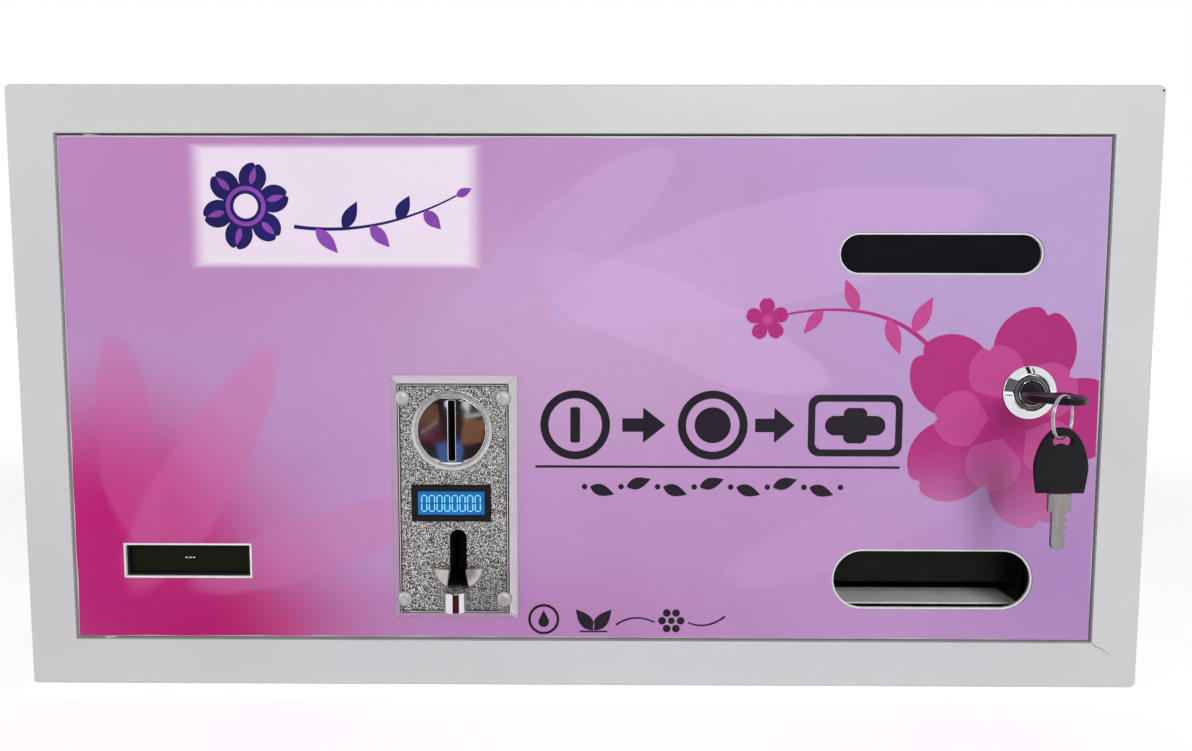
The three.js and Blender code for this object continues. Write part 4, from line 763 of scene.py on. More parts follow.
# Blue backlit status display: saturated mid blue under a clear lens.
BLUE_DISPLAY = Lit("blue_backlit_display", "#1f67ac", 0.14, 0.0, 9, 0.3, 2.0, 0.002, 0.04, gloss=0.12, glow=0.32)
# Bars of the status display: pale cyan, lit.
LIT_BAR = Lit("lit_display_bar", "#7cd0f2", 0.3, 0.0, 4, 0.1, 1.0, 0.002, 0.04, gloss=0.2, glow=0.5)
# Solder-masked circuit board.
BOARD = CircuitBoard("solder_masked_board", "#1b6a38", 0.3, 0.0, 12, 0.15, 0.8, 0.01, 0.06)
# Tinned solder joints and pins: bright, soft-edged metal.
SOLDER = Finish("tinned_solder", "#c8c9cc", 0.25, 1.0, 2, 0.2, 0.4, 0.01, 0.08)
# Painted shade for the open hairline in the paint, the pit at the corner and the groove round the acceptor's panel:
# dark and matt.
CREVICE_SHADE = Finish("dark_paint_crevice", "#3d3b3c", 0.8, 0.0, 2, 0.4, 0.4, 0.02, 0.05, gloss=0.1)
# Milled steel of the key blades: greyer and coarser than the drawn wire.
BLADE_STEEL = Finish("milled_key_steel", "#8f8b8a", 0.3, 1.0, 5, 0.2, 0.3, 0.012, 0.1, (1.0, 1.0, 0.2))
# Indigo and violet print of the sprig on the pale card.
INDIGO_INK = Finish("indigo_print", "#231f63", 0.33, 0.0, 25, 0.25, 1.2, 0.004, 0.04, gloss=0.15)
VIOLET_INK = Finish("violet_print", "#8b4bb0", 0.33, 0.0, 25, 0.2, 1.2, 0.004, 0.04, gloss=0.15)
# Cast front plate: its panel is hammered, its rim and the ring round the button are bare and bright.
PLATE_ZINC = HammeredZinc("hammered_plate_zinc", "#dedddb", 0.24, 0.8, 5, 0.05, 0.5, 0.08, 0.16)
# Magenta print of blossoms and sprigs: deep above, turning to a soft pink towards the slot below.
MAGENTA_INK = PrintedVinyl(
    "magenta_print", "#b3307c", 0.33, 0.0, 60, 0.06, 1.2, 0.004, 0.04, gloss=0.15, zones=(
        Zone(Mask(500, 78, 150, 62, 0, 1.0), "#c07fb4", 0.95),
        Zone(Mask(560, 190, 60, 50, 0, 1.0), "#ad2f79", 0.8),
    ),
)
# Paler rose print inside the blossoms.
MAGENTA_ROSE = PrintedVinyl(
    "rose_print", "#c04a90", 0.33, 0.0, 60, 0.06, 1.2, 0.004, 0.04, gloss=0.15,
    zones=(Zone(Mask(500, 78, 150, 62, 0, 1.0), "#c78cbf", 0.95),),
)
# Printed vinyl of the door: lilac ground with lavender, pink and magenta zones, broad pale petals
# and a bare pale card with soft edges.
PRINTED_VINYL = PrintedVinyl(
    "printed_vinyl_film", "#bd92c5", 0.33, 0.0, 70, 0.03, 1.1, 0.006, 0.05, gloss=0.15, zones=(
        Zone(Mask(530, 250, 250, 190, 0, 1.0), "#b8a0d0", 0.9),
        Zone(Mask(90, 270, 230, 130, 0, 1.0), "#bd84bc", 0.85),
        Zone(Mask(290, 190, 180, 110, 0, 1.0), "#c9a5cc", 0.75),
        Zone(Mask(250, 30, 220, 60, 0, 1.0), "#b57eb4", 0.8),
        Zone(Mask(395, 232, 120, 27, 14, 0.05), "#c9a5d6", 0.6),
        Zone(Mask(352, 196, 86, 22, -24, 0.06), "#cdabd8", 0.5),
        Zone(Mask(290, 240, 74, 19, 38, 0.07), "#c8a2d2", 0.5),
        Zone(Mask(455, 92, 90, 19, 24, 0.12), "#c49bcd", 0.45),
        Zone(Mask(46, 60, 160, 132, 0, 1.0), "#bb2b7e", 1.0),
        Zone(Mask(44, 92, 104, 96, 0, 1.0), "#bf1c75", 1.0),
        Zone(Mask(90, 32, 130, 60, 0, 1.0), "#b5186c", 1.0),
        Zone(Mask(96, 118, 84, 21, 58, 0.2), "#cf6ba6", 0.4),
        Zone(Mask(150, 76, 74, 18, 18, 0.2), "#c977b0", 0.4),
        Zone(Mask(58, 132, 62, 17, 100, 0.2), "#d05d9f", 0.35),
        Zone(Mask(562, 66, 100, 100, 0, 1.0), "#a884bd", 0.85),
        Zone(Mask(170.8, 257.5, 78, 33, 0, 0.14, True), "#f2e6f4", 0.9),
    ),
)


# Making pieces


class GrowTree:
    """Geometry Nodes that make one kind of piece, then realise it and give it its finish."""

    title: ClassVar[str]
    inputs: ClassVar[dict[str, str]]

    def grown(self, tree: NodeTree, given: bpy.types.NodeOutputs) -> Node:
        """Adds the nodes between the inputs and the common ending."""
        raise NotImplementedError

    def build(self) -> NodeTree:
        """Makes the node tree on first use.

        Returns:
            The tree.
        """
        found = bpy.data.node_groups.get(self.title)
        if found:
            return found
        tree = bpy.data.node_groups.new(self.title, "GeometryNodeTree")
        for name, kind in self.inputs.items():
            tree.interface.new_socket(name, in_out="INPUT", socket_type=f"NodeSocket{kind}")
        tree.interface.new_socket("Piece", in_out="OUTPUT", socket_type="NodeSocketGeometry")
        given = add_node(tree, "NodeGroupInput").outputs
        real = add_node(tree, "GeometryNodeRealizeInstances", {0: self.grown(tree, given)})
        finished = add_node(tree, "GeometryNodeSetMaterial", {0: real, "Material": given["Finish"]})
        add_node(tree, "NodeGroupOutput", {0: finished})
        return tree


class WireTree(GrowTree):
    """Geometry Nodes that sweep a round wire along a path of edges."""

    title = "wire_along_path"
    inputs = {"Path": "Geometry", "Wire Radius": "Float", "Sides": "Int", "Finish": "Material"}

    def grown(self, tree: NodeTree, given: bpy.types.NodeOutputs) -> Node:
        """Adds the path, the wire's round profile and the sweep.

        Args:
            tree: the node tree.
            given: its inputs.

        Returns:
            The node that gives the pieces.
        """
        size = {"Resolution": given["Sides"], "Radius": given["Wire Radius"]}
        profile = add_node(tree, "GeometryNodeCurvePrimitiveCircle", size)
        path = add_node(tree, "GeometryNodeMeshToCurve", {0: given["Path"]})
        links = {"Curve": path, "Profile Curve": profile, "Fill Caps": True}
        return add_node(tree, "GeometryNodeCurveToMesh", links)


class RepeatTree(GrowTree):
    """Geometry Nodes that put a copy of one small shape at each point."""

    title = "shape_at_each_place"
    inputs = {"Places": "Geometry", "Shape": "Object", "Size": "Float", "Finish": "Material"}

    def grown(self, tree: NodeTree, given: bpy.types.NodeOutputs) -> Node:
        """Adds the points, the small shape and its copies.

        Args:
            tree: the node tree.
            given: its inputs.

        Returns:
            The node that gives the pieces.
        """
        points = add_node(tree, "GeometryNodeMeshToPoints", {"Mesh": given["Places"]})
        shape = add_node(tree, "GeometryNodeObjectInfo", {"Object": given["Shape"]}).outputs["Geometry"]
        links = {"Points": points, "Instance": shape, "Scale": given["Size"]}
        return add_node(tree, "GeometryNodeInstanceOnPoints", links)


@contextmanager
def edited(mesh: Mesh) -> Iterator[bmesh.types.BMesh]:
    """Opens a mesh for editing and writes it back at the end of the block.

    Args:
        mesh: the mesh.

    Returns:
        The mesh in its editable form.
    """
    bm = bmesh.new()
    bm.from_mesh(mesh)
    yield bm
    bm.to_mesh(mesh)
    bm.free()


@dataclass(frozen=True)
class Edges:
    """How the edges of a piece are finished.

    Args:
        rounding: radius of the rounded edges in millimetres, or 0.
        sharp: edges steeper than this many degrees stay sharp or get the rounding.
        folded: a larger radius for the outer folds of sheet metal, or 0.
        corner: a still larger radius for the outer corners as seen from the front, or 0.
    """

    rounding: float = 0.0
    sharp: float = 35.0
    folded: float = 0.0
    corner: float = 0.0


@dataclass
class Workshop:
    """Turns shapes into finished objects that ride on the frame's bodies."""

    frame: dict
    slots: dict[str, str] = field(default_factory=dict)

    def __post_init__(self) -> None:
        """Reads each node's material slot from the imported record."""
        self.slots = {part["node"]: part["material_slot"] for part in self.frame["record"]["subparts"]}

    def mesh_of(self, name: str, shape: Shape) -> Mesh:
        """Makes a mesh in the frame's metres, with doubles merged and faces turned outwards.

        Args:
            name: the mesh's name.
            shape: the shape in cabinet millimetres.

        Returns:
            The mesh.
        """
        mesh = bpy.data.meshes.new(name)
        mesh.from_pydata([row(*c) for c in shape.corners], [], shape.faces)
        with edited(mesh) as bm:
            bmesh.ops.remove_doubles(bm, verts=bm.verts, dist=1e-6)
            bmesh.ops.recalc_face_normals(bm, faces=bm.faces)
        return mesh

    def finish_mesh(
        self, name: str, mesh: Mesh, finish: Finish, body: Body, stands_for: Sequence[str] = (), *sizes: float
    ) -> Object:
        """Makes a mesh a finished piece: material, smooth shading, rounded edges and its body.

        Args:
            name: the piece's name.
            mesh: its mesh in metres.
            finish: its finish.
            body: the body it rides on.
            stands_for: the frame's nodes that it replaces.
            sizes: how its edges are finished, in the order of Edges.

        Returns:
            The finished object.
        """
        edges = Edges(*sizes)
        widest, sharp = max(edges.rounding, edges.folded, edges.corner), math.radians(edges.sharp)
        with edited(mesh) as bm:
            if edges.folded > 0:
                self.weigh_folds(bm, edges.rounding / widest, edges.folded / widest, sharp)
            for face in bm.faces:
                face.smooth = True
            for edge in bm.edges:
                steep = len(edge.link_faces) == 2 and edge.calc_face_angle(0) > sharp
                edge.smooth = not steep or edges.rounding > 0
        mesh.materials.clear()
        mesh.materials.append(finish.material())
        piece = show(name, mesh)
        if edges.rounding > 0:
            bevel = piece.modifiers.new("rounded_edges", "BEVEL")
            bevel.width, bevel.segments = widest * MM, 6 if edges.folded else 2
            bevel.limit_method, bevel.angle_limit = "WEIGHT" if edges.folded else "ANGLE", sharp
            bevel.harden_normals = True
            bevel.use_clamp_overlap = edges.corner == 0
        else:
            piece.modifiers.new("flat_faces_stay_flat", "WEIGHTED_NORMAL").keep_sharp = True
        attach(piece, body.value)
        if stands_for:
            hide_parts(*stands_for)
        LOG.info("%s rides on %s with %s", name, body.value, finish.title)
        return piece

    def weigh_folds(self, bm: bmesh.types.BMesh, small: float, fold: float, sharp: float) -> None:
        """Gives the outermost corners of a sheet-metal piece the full bevel weight, and its other edges less.

        Args:
            bm: the piece's mesh.
            small: the weight of the inner and cut edges.
            fold: the weight of the outer folds.
            sharp: the steepness from which an edge counts, in radians.
        """
        weights = bm.edges.layers.float.new("bevel_weight_edge")
        places = [v.co for v in bm.verts]
        low = [min(c[i] for c in places) for i in range(3)]
        high = [max(c[i] for c in places) for i in range(3)]
        for edge in bm.edges:
            if len(edge.link_faces) != 2 or edge.calc_face_angle(0) <= sharp:
                continue
            ends = [v.co for v in edge.verts]
            outer = [
                any(all(abs(c[i] - limit) < 2e-5 for c in ends) for limit in (low[i], high[i])) for i in range(3)
            ]
            edge[weights] = 1.0 if outer[0] and outer[2] else fold if sum(outer) > 1 else small

    def put(
        self, name: str, shape: Shape, finish: Finish, body: Body, stands_for: Sequence[str] = (), *sizes: float
    ) -> Object:
        """Makes a finished piece from a shape, with finish_mesh's other arguments."""
        return self.finish_mesh(name, self.mesh_of(name, shape), finish, body, stands_for, *sizes)

    def refine(self, node: str, finish: Finish, body: Body, *sizes: float) -> Object:
        """Replaces a node of the frame with a copy of its mesh that has rounded edges and smooth curves.

        Args:
            node: the node's name.
            finish: its finish.
            body: the body it rides on.
            sizes: how its edges are finished, in the order of Edges.

        Returns:
            The finished object.
        """
        name = f"{node}_finished"
        mesh = self.frame["nodes"][node].data.copy()
        mesh.name = name
        with edited(mesh) as bm:
            bmesh.ops.remove_doubles(bm, verts=bm.verts, dist=2e-6)
            bmesh.ops.dissolve_limit(bm, angle_limit=math.radians(0.7), verts=bm.verts, edges=bm.edges)
        if "custom_normal" in mesh.attributes:
            mesh.attributes.remove(mesh.attributes["custom_normal"])
        return self.finish_mesh(name, mesh, finish, body, (node,), *sizes)

    def refine_all(self, body: Body, *nodes: tuple) -> None:
        """Replaces several nodes of one body, each given as refine's other arguments."""
        for node, finish, *sizes in nodes:
            self.refine(node, finish, body, *sizes)

    def plain(self, name: str, holder: Object) -> Mesh:
        """Returns the result of an object's modifiers as a plain mesh.

        Args:
            name: the mesh's name.
            holder: the object, which is removed.

        Returns:
            The plain mesh.
        """
        mesh = bpy.data.meshes.new_from_object(holder.evaluated_get(bpy.context.evaluated_depsgraph_get()))
        mesh.name = name
        holder.modifiers.clear()
        bpy.data.objects.remove(holder)
        return mesh

    def grow(self, name: str, points: Sequence[Vector], linked: bool, tree: NodeTree, inputs: Links) -> Mesh:
        """Runs a Geometry Nodes tree on points and keeps the result as a plain mesh.

        Args:
            name: the mesh's name.
            points: places in cabinet millimetres.
            linked: True joins each point to the next by an edge.
            tree: the node tree.
            inputs: the values of the tree's named inputs.

        Returns:
            The plain mesh in metres.
        """
        seed = bpy.data.meshes.new(f"{name}_seed")
        edges = [(i, i + 1) for i in range(len(points) - 1)] if linked else []
        seed.from_pydata([row(*p) for p in points], edges, [])
        holder = show(f"{name}_seed", seed)
        modifier = holder.modifiers.new("grow", "NODES")
        modifier.node_group = tree
        for item in tree.interface.items_tree:
            if item.in_out == "INPUT" and item.name in inputs:
                modifier[item.identifier] = inputs[item.name]
        mesh = self.plain(name, holder)
        bpy.data.meshes.remove(seed)
        return mesh

    def cut(self, mesh: Mesh, shape: Shape) -> Mesh:
        """Takes a shape out of a mesh.

        Args:
            mesh: the mesh in metres.
            shape: the shape to take out, in cabinet millimetres.

        Returns:
            The mesh that is left.
        """
        holder, tool = show("cut_from", mesh), show("cut_with", self.mesh_of("cut_with", shape))
        modifier = holder.modifiers.new("cut", "BOOLEAN")
        modifier.object, modifier.operation, modifier.solver = tool, "DIFFERENCE", "EXACT"
        left = self.plain(mesh.name, holder)
        bpy.data.objects.remove(tool)
        return left

    def wire(
        self, name: str, points: Sequence[Vector], radius: float, body: Body, stands_for: Sequence[str], sides: int
    ) -> Object:
        """Makes a bright steel wire along a path with Geometry Nodes.

        Args:
            name: the piece's name.
            points: the path in cabinet millimetres.
            radius: the wire's radius in millimetres.
            body: the body it rides on.
            stands_for: the frame's nodes that it replaces.
            sides: how many faces go round the wire.

        Returns:
            The finished object.
        """
        inputs = {"Wire Radius": radius * MM, "Sides": sides, "Finish": BRIGHT_STEEL.material()}
        mesh = self.grow(name, points, True, WireTree().build(), inputs)
        with edited(mesh) as bm:
            bmesh.ops.recalc_face_normals(bm, faces=bm.faces)
        return self.finish_mesh(name, mesh, BRIGHT_STEEL, body, stands_for, 0.0, 50.0)

    def repeat(self, name: str, places: Sequence[Vector], shape: Shape, finish: Finish, body: Body) -> Object:
        """Puts a copy of a small shape at each place with Geometry Nodes.

        Args:
            name: the piece's name.
            places: the places in cabinet millimetres.
            shape: the shape about its own zero, in millimetres.
            finish: its finish.
            body: the body the copies ride on.

        Returns:
            The finished object that holds all copies.
        """
        loose = self.mesh_of(f"{name}_shape", shape.moved(Matrix.Translation(CABINET_ZERO)))
        model = show(f"{name}_shape", loose)
        inputs = {"Shape": model, "Size": 1.0, "Finish": finish.material()}
        mesh = self.grow(name, places, False, RepeatTree().build(), inputs)
        bpy.data.objects.remove(model)
        return self.finish_mesh(name, mesh, finish, body)


# The studio


@dataclass
class Studio:
    """The camera at the photograph's angle, the pale floor and the soft lights."""

    camera_x: float = 309.59
    camera_y: float = -473.91
    camera_z: float = 208.53
    pitch_deg: float = 4.724
    yaw_deg: float = -0.315
    roll_deg: float = 0.128
    focal_px: float = 900.0
    floor_size: float = 12.0
    floor_shade: float = 0.45

    cards: tuple[tuple[str, str, float, tuple[Point, ...]], ...] = (
        ("card_room", "#2b2321", -0.93, ((-0.262, -0.197), (-0.112, -0.205), (-0.105, -0.048), (-0.268, -0.052))),
        ("card_brown", "#70503f", -0.925, ((-0.245, -0.118), (-0.2, -0.108), (-0.203, -0.088), (-0.24, -0.082))),
        ("card_red", "#5c2936", -0.925, ((-0.24, -0.15), (-0.196, -0.158), (-0.198, -0.112), (-0.243, -0.124))),
        ("card_blue", "#5474b4", -0.922, ((-0.215, -0.195), (-0.165, -0.195), (-0.168, -0.15), (-0.205, -0.153))),
        ("card_pale", "#dfe5ec", -0.922, ((-0.184, -0.09), (-0.165, -0.098), (-0.158, -0.068), (-0.18, -0.07))),
        ("card_tan", "#8c6048", -0.925, ((-0.18, -0.142), (-0.14, -0.148), (-0.136, -0.108), (-0.176, -0.104))),
        ("card_cream", "#d8c994", -0.921, ((-0.167, -0.163), (-0.15, -0.166), (-0.148, -0.146), (-0.165, -0.147))),
        ("card_bar", "#d5d0cc", -0.92, ((-0.176, -0.104), (-0.143, -0.1), (-0.143, -0.096), (-0.176, -0.1))),
        ("card_streak", "#b9aaa4", -0.92, ((-0.236, -0.128), (-0.206, -0.11), (-0.206, -0.107), (-0.237, -0.125))),
        ("card_window", "#3a393d", -0.93, ((0.26, 0.02), (0.66, 0.02), (0.66, 0.2), (0.26, 0.2))),
        ("card_dark_high", "#2c2a2b", -0.93, ((0.5, 0.55), (0.72, 0.55), (0.78, 1.3), (0.52, 1.3))),
        ("card_dark_far", "#38363a", -0.93, ((0.9, 0.4), (1.02, 0.4), (1.1, 1.3), (0.95, 1.3))),
        ("card_dark_low", "#3b3638", -0.93, ((0.02, -0.3), (0.16, -0.3), (0.12, -0.02), (0.0, -0.04))),
        ("card_wall", "#6f6f72", -3.4, ((-3.2, -0.16), (3.2, -0.16), (3.2, 2.3), (-3.2, 2.3))),
        ("card_dark_left", "#332f31", -0.93, ((-0.75, 0.16), (-0.6, 0.16), (-0.58, 0.35), (-0.72, 0.35))),
        ("card_dark_beside", "#332f31", -0.93, ((-0.75, 0.0), (-0.6, 0.0), (-0.6, 0.05), (-0.75, 0.05))),
        ("card_dark_under", "#332f31", -0.93, ((-0.72, -0.16), (-0.6, -0.16), (-0.6, -0.11), (-0.74, -0.11))),
        ("card_near", "#4a2229", -0.26, ((-0.086, -0.142), (-0.02, -0.142), (-0.02, -0.112), (-0.086, -0.112))),
        ("card_room_low", "#2b2321", -0.705, ((-0.195, -0.142), (-0.105, -0.142), (-0.105, -0.106), (-0.195, -0.106))),
        ("card_blue_low", "#4c6aa8", -0.7, ((-0.17, -0.142), (-0.138, -0.142), (-0.142, -0.104), (-0.166, -0.104))),
    )

    def build(self) -> None:
        """Makes the camera, the world, the floor, the lights and the cards that the chrome reflects."""
        self.build_camera()
        self.build_world()
        self.build_floor()
        self.build_lights()
        self.build_cards()
        bpy.context.scene.view_settings.view_transform = "Standard"

    def build_camera(self) -> None:
        """Makes the camera from the fitted place, turn and focal length."""
        data = bpy.data.cameras.new("camera")
        data.sensor_width = 36.0
        data.lens = self.focal_px / PHOTO_WIDTH * data.sensor_width
        data.clip_start, data.clip_end = 0.01, 100.0
        pitch, yaw, roll = (math.radians(a) for a in (self.pitch_deg, self.yaw_deg, self.roll_deg))
        ahead = Vector((math.sin(yaw) * math.cos(pitch), math.cos(yaw) * math.cos(pitch), -math.sin(pitch)))
        right = Vector((math.cos(yaw), -math.sin(yaw), 0))
        up = right.cross(ahead)
        across = right * math.cos(roll) + up * math.sin(roll)
        upward = up * math.cos(roll) - right * math.sin(roll)
        turn = Matrix((across, upward, -ahead)).transposed().to_4x4()
        camera = show("camera", data)
        camera.matrix_world = Matrix.Translation(row(self.camera_x, self.camera_y, self.camera_z)) @ turn
        bpy.context.scene.camera = camera

    def seen(self, tree: NodeTree) -> Node:
        """Adds a node that gives 1 for rays from the camera, off gloss or through glass.

        Args:
            tree: the node tree of the world or of a material.

        Returns:
            The node.
        """
        rays = add_node(tree, "ShaderNodeLightPath").outputs
        links = {0: rays["Is Camera Ray"], 1: rays["Is Glossy Ray"]}
        links = {0: add_node(tree, "ShaderNodeMath", links, operation="MAXIMUM"), 1: rays["Is Transmission Ray"]}
        return add_node(tree, "ShaderNodeMath", links, operation="MAXIMUM")

    def build_world(self) -> None:
        """Makes a soft grey-white world that shows as plain white."""
        world = bpy.data.worlds.new("studio_air")
        world.use_nodes = True
        tree = world.node_tree
        tree.nodes.clear()
        soft, white = (add_node(tree, "ShaderNodeBackground", {0: (1, 1, 1, 1), 1: level}) for level in (0.3, 1.0))
        both = add_node(tree, "ShaderNodeMixShader", {0: self.seen(tree), 1: soft, 2: white})
        add_node(tree, "ShaderNodeOutputWorld", {0: both})
        bpy.context.scene.world = world

    def stand(self, name: str, corners: Sequence[Sequence[float]], material: Material) -> Object:
        """Stands one flat face in the studio that isn't part of the machine.

        Args:
            name: the face's name.
            corners: its corners in metres.
            material: its material.

        Returns:
            The face's object.
        """
        mesh = bpy.data.meshes.new(name)
        mesh.from_pydata(corners, [], [tuple(range(len(corners)))])
        mesh.materials.append(material)
        staged = show(name, mesh)
        return staged

    def build_floor(self) -> None:
        """Makes the floor: matt white that keeps the machine's soft shadow and is lost in the background."""
        made, tree, place = blank_material("studio_floor")
        patches = add_node(tree, "ShaderNodeTexNoise", {"Vector": place, "Scale": 3.0, "Detail": 2.0})
        whites = {0: patches, 6: linear("#f3f3f4"), 7: linear("#f7f7f7")}
        matt = add_node(tree, "ShaderNodeBsdfDiffuse", {0: add_node(tree, "ShaderNodeMix", whites, data_type="RGBA")})
        away = add_node(tree, "ShaderNodeVectorMath", {0: place}, operation="LENGTH")
        links = {"Value": away, "From Min": 0.7, "From Max": 2.4, "To Min": self.floor_shade, "To Max": 1.0}
        fade = add_node(tree, "ShaderNodeMapRange", links)
        lift = add_node(tree, "ShaderNodeMath", {0: self.seen(tree), 1: fade}, operation="MULTIPLY")
        glow = add_node(tree, "ShaderNodeEmission", {"Color": (1, 1, 1, 1), "Strength": lift})
        add_node(tree, "ShaderNodeOutputMaterial", {0: add_node(tree, "ShaderNodeAddShader", {0: matt, 1: glow})})
        half = self.floor_size / 2
        corners = [(a * half, b * half, row(0, 0, 0).z) for a, b in ((-1, -1), (1, -1), (1, 1), (-1, 1))]
        self.stand("floor", corners, made)

    def light(
        self, name: str, place: Vector, aim: Vector, size: tuple[float, float], watts: float, shines: bool = True
    ) -> None:
        """Adds one soft rectangular lamp.

        Args:
            name: the lamp's name.
            place: where it hangs, in metres.
            aim: what it faces, in metres.
            size: its width and height in metres.
            watts: its power.
            shines: True if gloss reflects it.
        """
        data = bpy.data.lights.new(name, "AREA")
        data.shape, data.size, data.size_y, data.energy = "RECTANGLE", size[0], size[1], watts
        lamp = show(name, data)
        lamp.location = place
        lamp.rotation_mode = "QUATERNION"
        lamp.rotation_quaternion = (aim - place).to_track_quat("-Z", "Y")
        lamp.visible_glossy = shines

    def build_lights(self) -> None:
        """Hangs the main lamp in front and above, weaker ones at the left and low at the right, and one behind."""
        aim = Vector((0.0, -0.2, 0.0))
        self.light("lamp_key", Vector((0.75, -3.0, 1.45)), aim, (1.5, 0.85), 34.0)
        self.light("lamp_left", Vector((-1.7, -1.4, 0.7)), aim, (1.0, 1.2), 7.0)
        self.light("lamp_low", Vector((0.9, -2.1, 0.5)), Vector((0.15, -0.2, -0.1)), (0.5, 0.5), 10.0, False)
        self.light("lamp_back", Vector((0.5, 1.8, 1.2)), Vector((0, 0, 0)), (1.4, 1.0), 5.0)

    def build_cards(self) -> None:
        """Stands coloured cards behind the camera, which only gloss reflects, as a room would."""
        for name, colour, depth, corners in self.cards:
            made, tree, place = blank_material(name)
            spots = add_node(tree, "ShaderNodeTexNoise", {"Vector": place, "Scale": 30.0, "Detail": 3.0})
            shade = add_node(tree, "ShaderNodeMapRange", {"Value": spots, "To Min": 0.5, "To Max": 1.35})
            glow = add_node(tree, "ShaderNodeEmission", {"Color": linear(colour), "Strength": shade})
            add_node(tree, "ShaderNodeOutputMaterial", {0: glow})
            card = self.stand(name, [(x, depth, z) for x, z in corners], made)
            card.visible_camera = card.visible_diffuse = card.visible_shadow = False
            card.visible_transmission = card.visible_volume_scatter = False


# Outlines of the print


def ribbon(points: Loop, start: float, end: float) -> Loop:
    """Draws a tapering band round a path.

    Args:
        points: the path's points in X and Z.
        start: the band's width at its start.
        end: its width at its end.

    Returns:
        The band's outline.
    """
    left: Loop = []
    right: Loop = []
    last = len(points) - 1
    for i, (u, v) in enumerate(points):
        before, after = points[max(i - 1, 0)], points[min(i + 1, last)]
        along = Vector((after[0] - before[0], after[1] - before[1])).normalized()
        reach = (start + (end - start) * i / last) / 2
        left.append((u - along.y * reach, v + along.x * reach))
        right.append((u + along.y * reach, v - along.x * reach))
    return left + right[::-1]


def bend(start: Point, middle: Point, end: Point, steps: int = 24) -> Loop:
    """Returns points on a curve that leaves its start towards the middle point and arrives at its end."""
    shares = [((1 - t) ** 2, 2 * t * (1 - t), t * t) for t in (i / steps for i in range(steps + 1))]
    return [tuple(a * p + b * q + c * r for p, q, r in zip(start, middle, end)) for a, b, c in shares]


def leaf(u: float, v: float, length: float, width: float, turn: float, steps: int = 18) -> Loop:
    """Draws a pointed leaf from its foot.

    Args:
        u: the foot's place across.
        v: the foot's place up.
        length: from foot to tip.
        width: the widest part.
        turn: direction of the tip in degrees from the X axis.
        steps: how many steps each side takes.

    Returns:
        The leaf's outline.
    """
    angle = math.radians(turn)
    along, side = Vector((math.cos(angle), math.sin(angle))), Vector((-math.sin(angle), math.cos(angle)))
    edge = [(t / steps, math.sin(math.pi * (t / steps) ** 0.8) * width / 2) for t in range(steps + 1)]
    path = [(t, w) for t, w in edge] + [(t, -w) for t, w in edge[-2:0:-1]]
    return [(u + (along * (t * length) + side * w).x, v + (along * (t * length) + side * w).y) for t, w in path]


def blossom(u: float, v: float, radius: float, petals: int = 5, turn: float = 0.0, core: float = 0.42) -> Loop:
    """Draws a flower's outline with rounded petals.

    Args:
        u: centre across.
        v: centre up.
        radius: from the centre to a petal's tip.
        petals: how many petals it has.
        turn: turn of the whole flower in degrees.
        core: where the petals part, as a share of the radius.

    Returns:
        The flower's outline.
    """
    made = []
    for i in range(petals * 28):
        angle = math.tau * i / (petals * 28)
        lobe = abs(math.cos(petals * angle / 2)) ** 0.55
        notch = 0.06 * max(0.0, 1 - abs(math.sin(petals * angle / 2)) * 6)
        reach = radius * (core + (1 - core) * lobe - notch)
        made.append(polar(u, v, reach, math.degrees(angle) + turn))
    return made


def smooth(points: Loop, steps: int) -> Loop:
    """Draws a smooth curve through an open row of points.

    Args:
        points: the points.
        steps: how many steps lie between two of them.

    Returns:
        The curve's points.
    """
    made: Loop = []
    last = len(points) - 1
    for i in range(last):
        before, start = points[max(i - 1, 0)], points[i]
        end, after = points[i + 1], points[min(i + 2, last)]
        for step in range(steps):
            t = step / steps
            weights = (-t + 2 * t**2 - t**3, 2 - 5 * t**2 + 3 * t**3, t + 4 * t**2 - 3 * t**3, t**3 - t**2)
            u, v = (sum(w * p[k] for w, p in zip(weights, (before, start, end, after))) / 2 for k in (0, 1))
            made.append((u, v))
    return made


def clipped(loop: Loop, left: float, right: float, bottom: float, top: float) -> Loop:
    """Returns a loop with every point held inside a rectangle."""
    return [(min(max(u, left), right), min(max(v, bottom), top)) for u, v in loop]


def star(u: float, v: float, outer: float, inner: float, points: int, turn: float = 90.0) -> Loop:
    """Returns the outline of a star with the given number of points."""
    reaches = [outer, inner] * points
    return [polar(u, v, reach, turn + 180 * i / points) for i, reach in enumerate(reaches)]


def drop(u: float, v: float, radius: float, height: float) -> Loop:
    """Returns the outline of a droplet with a round foot and a pointed top."""
    return arc(u, v, radius, -210, 30, 24) + [(u, v + height)]


def arrow(u: float, v: float, length: float, width: float) -> Loop:
    """Returns the outline of a block arrow that points to the right.

    Args:
        u: middle across.
        v: middle up.
        length: from tail to tip.
        width: width of the head.

    Returns:
        The arrow's outline.
    """
    shaft, neck, tail = width * 0.19, u + length / 2 - length * 0.52, u - length / 2
    upper = [(u + length / 2, v), (neck, v + width / 2), (neck, v + shaft), (tail, v + shaft)]
    return [(tail, v - shaft), (neck, v - shaft), (neck, v - width / 2), *upper]


# Sub-assemblies


@dataclass
class SubAssembly:
    """A part of the machine that is built as one."""

    shop: Workshop

    def build(self) -> None:
        """Makes the part's pieces."""
        raise NotImplementedError


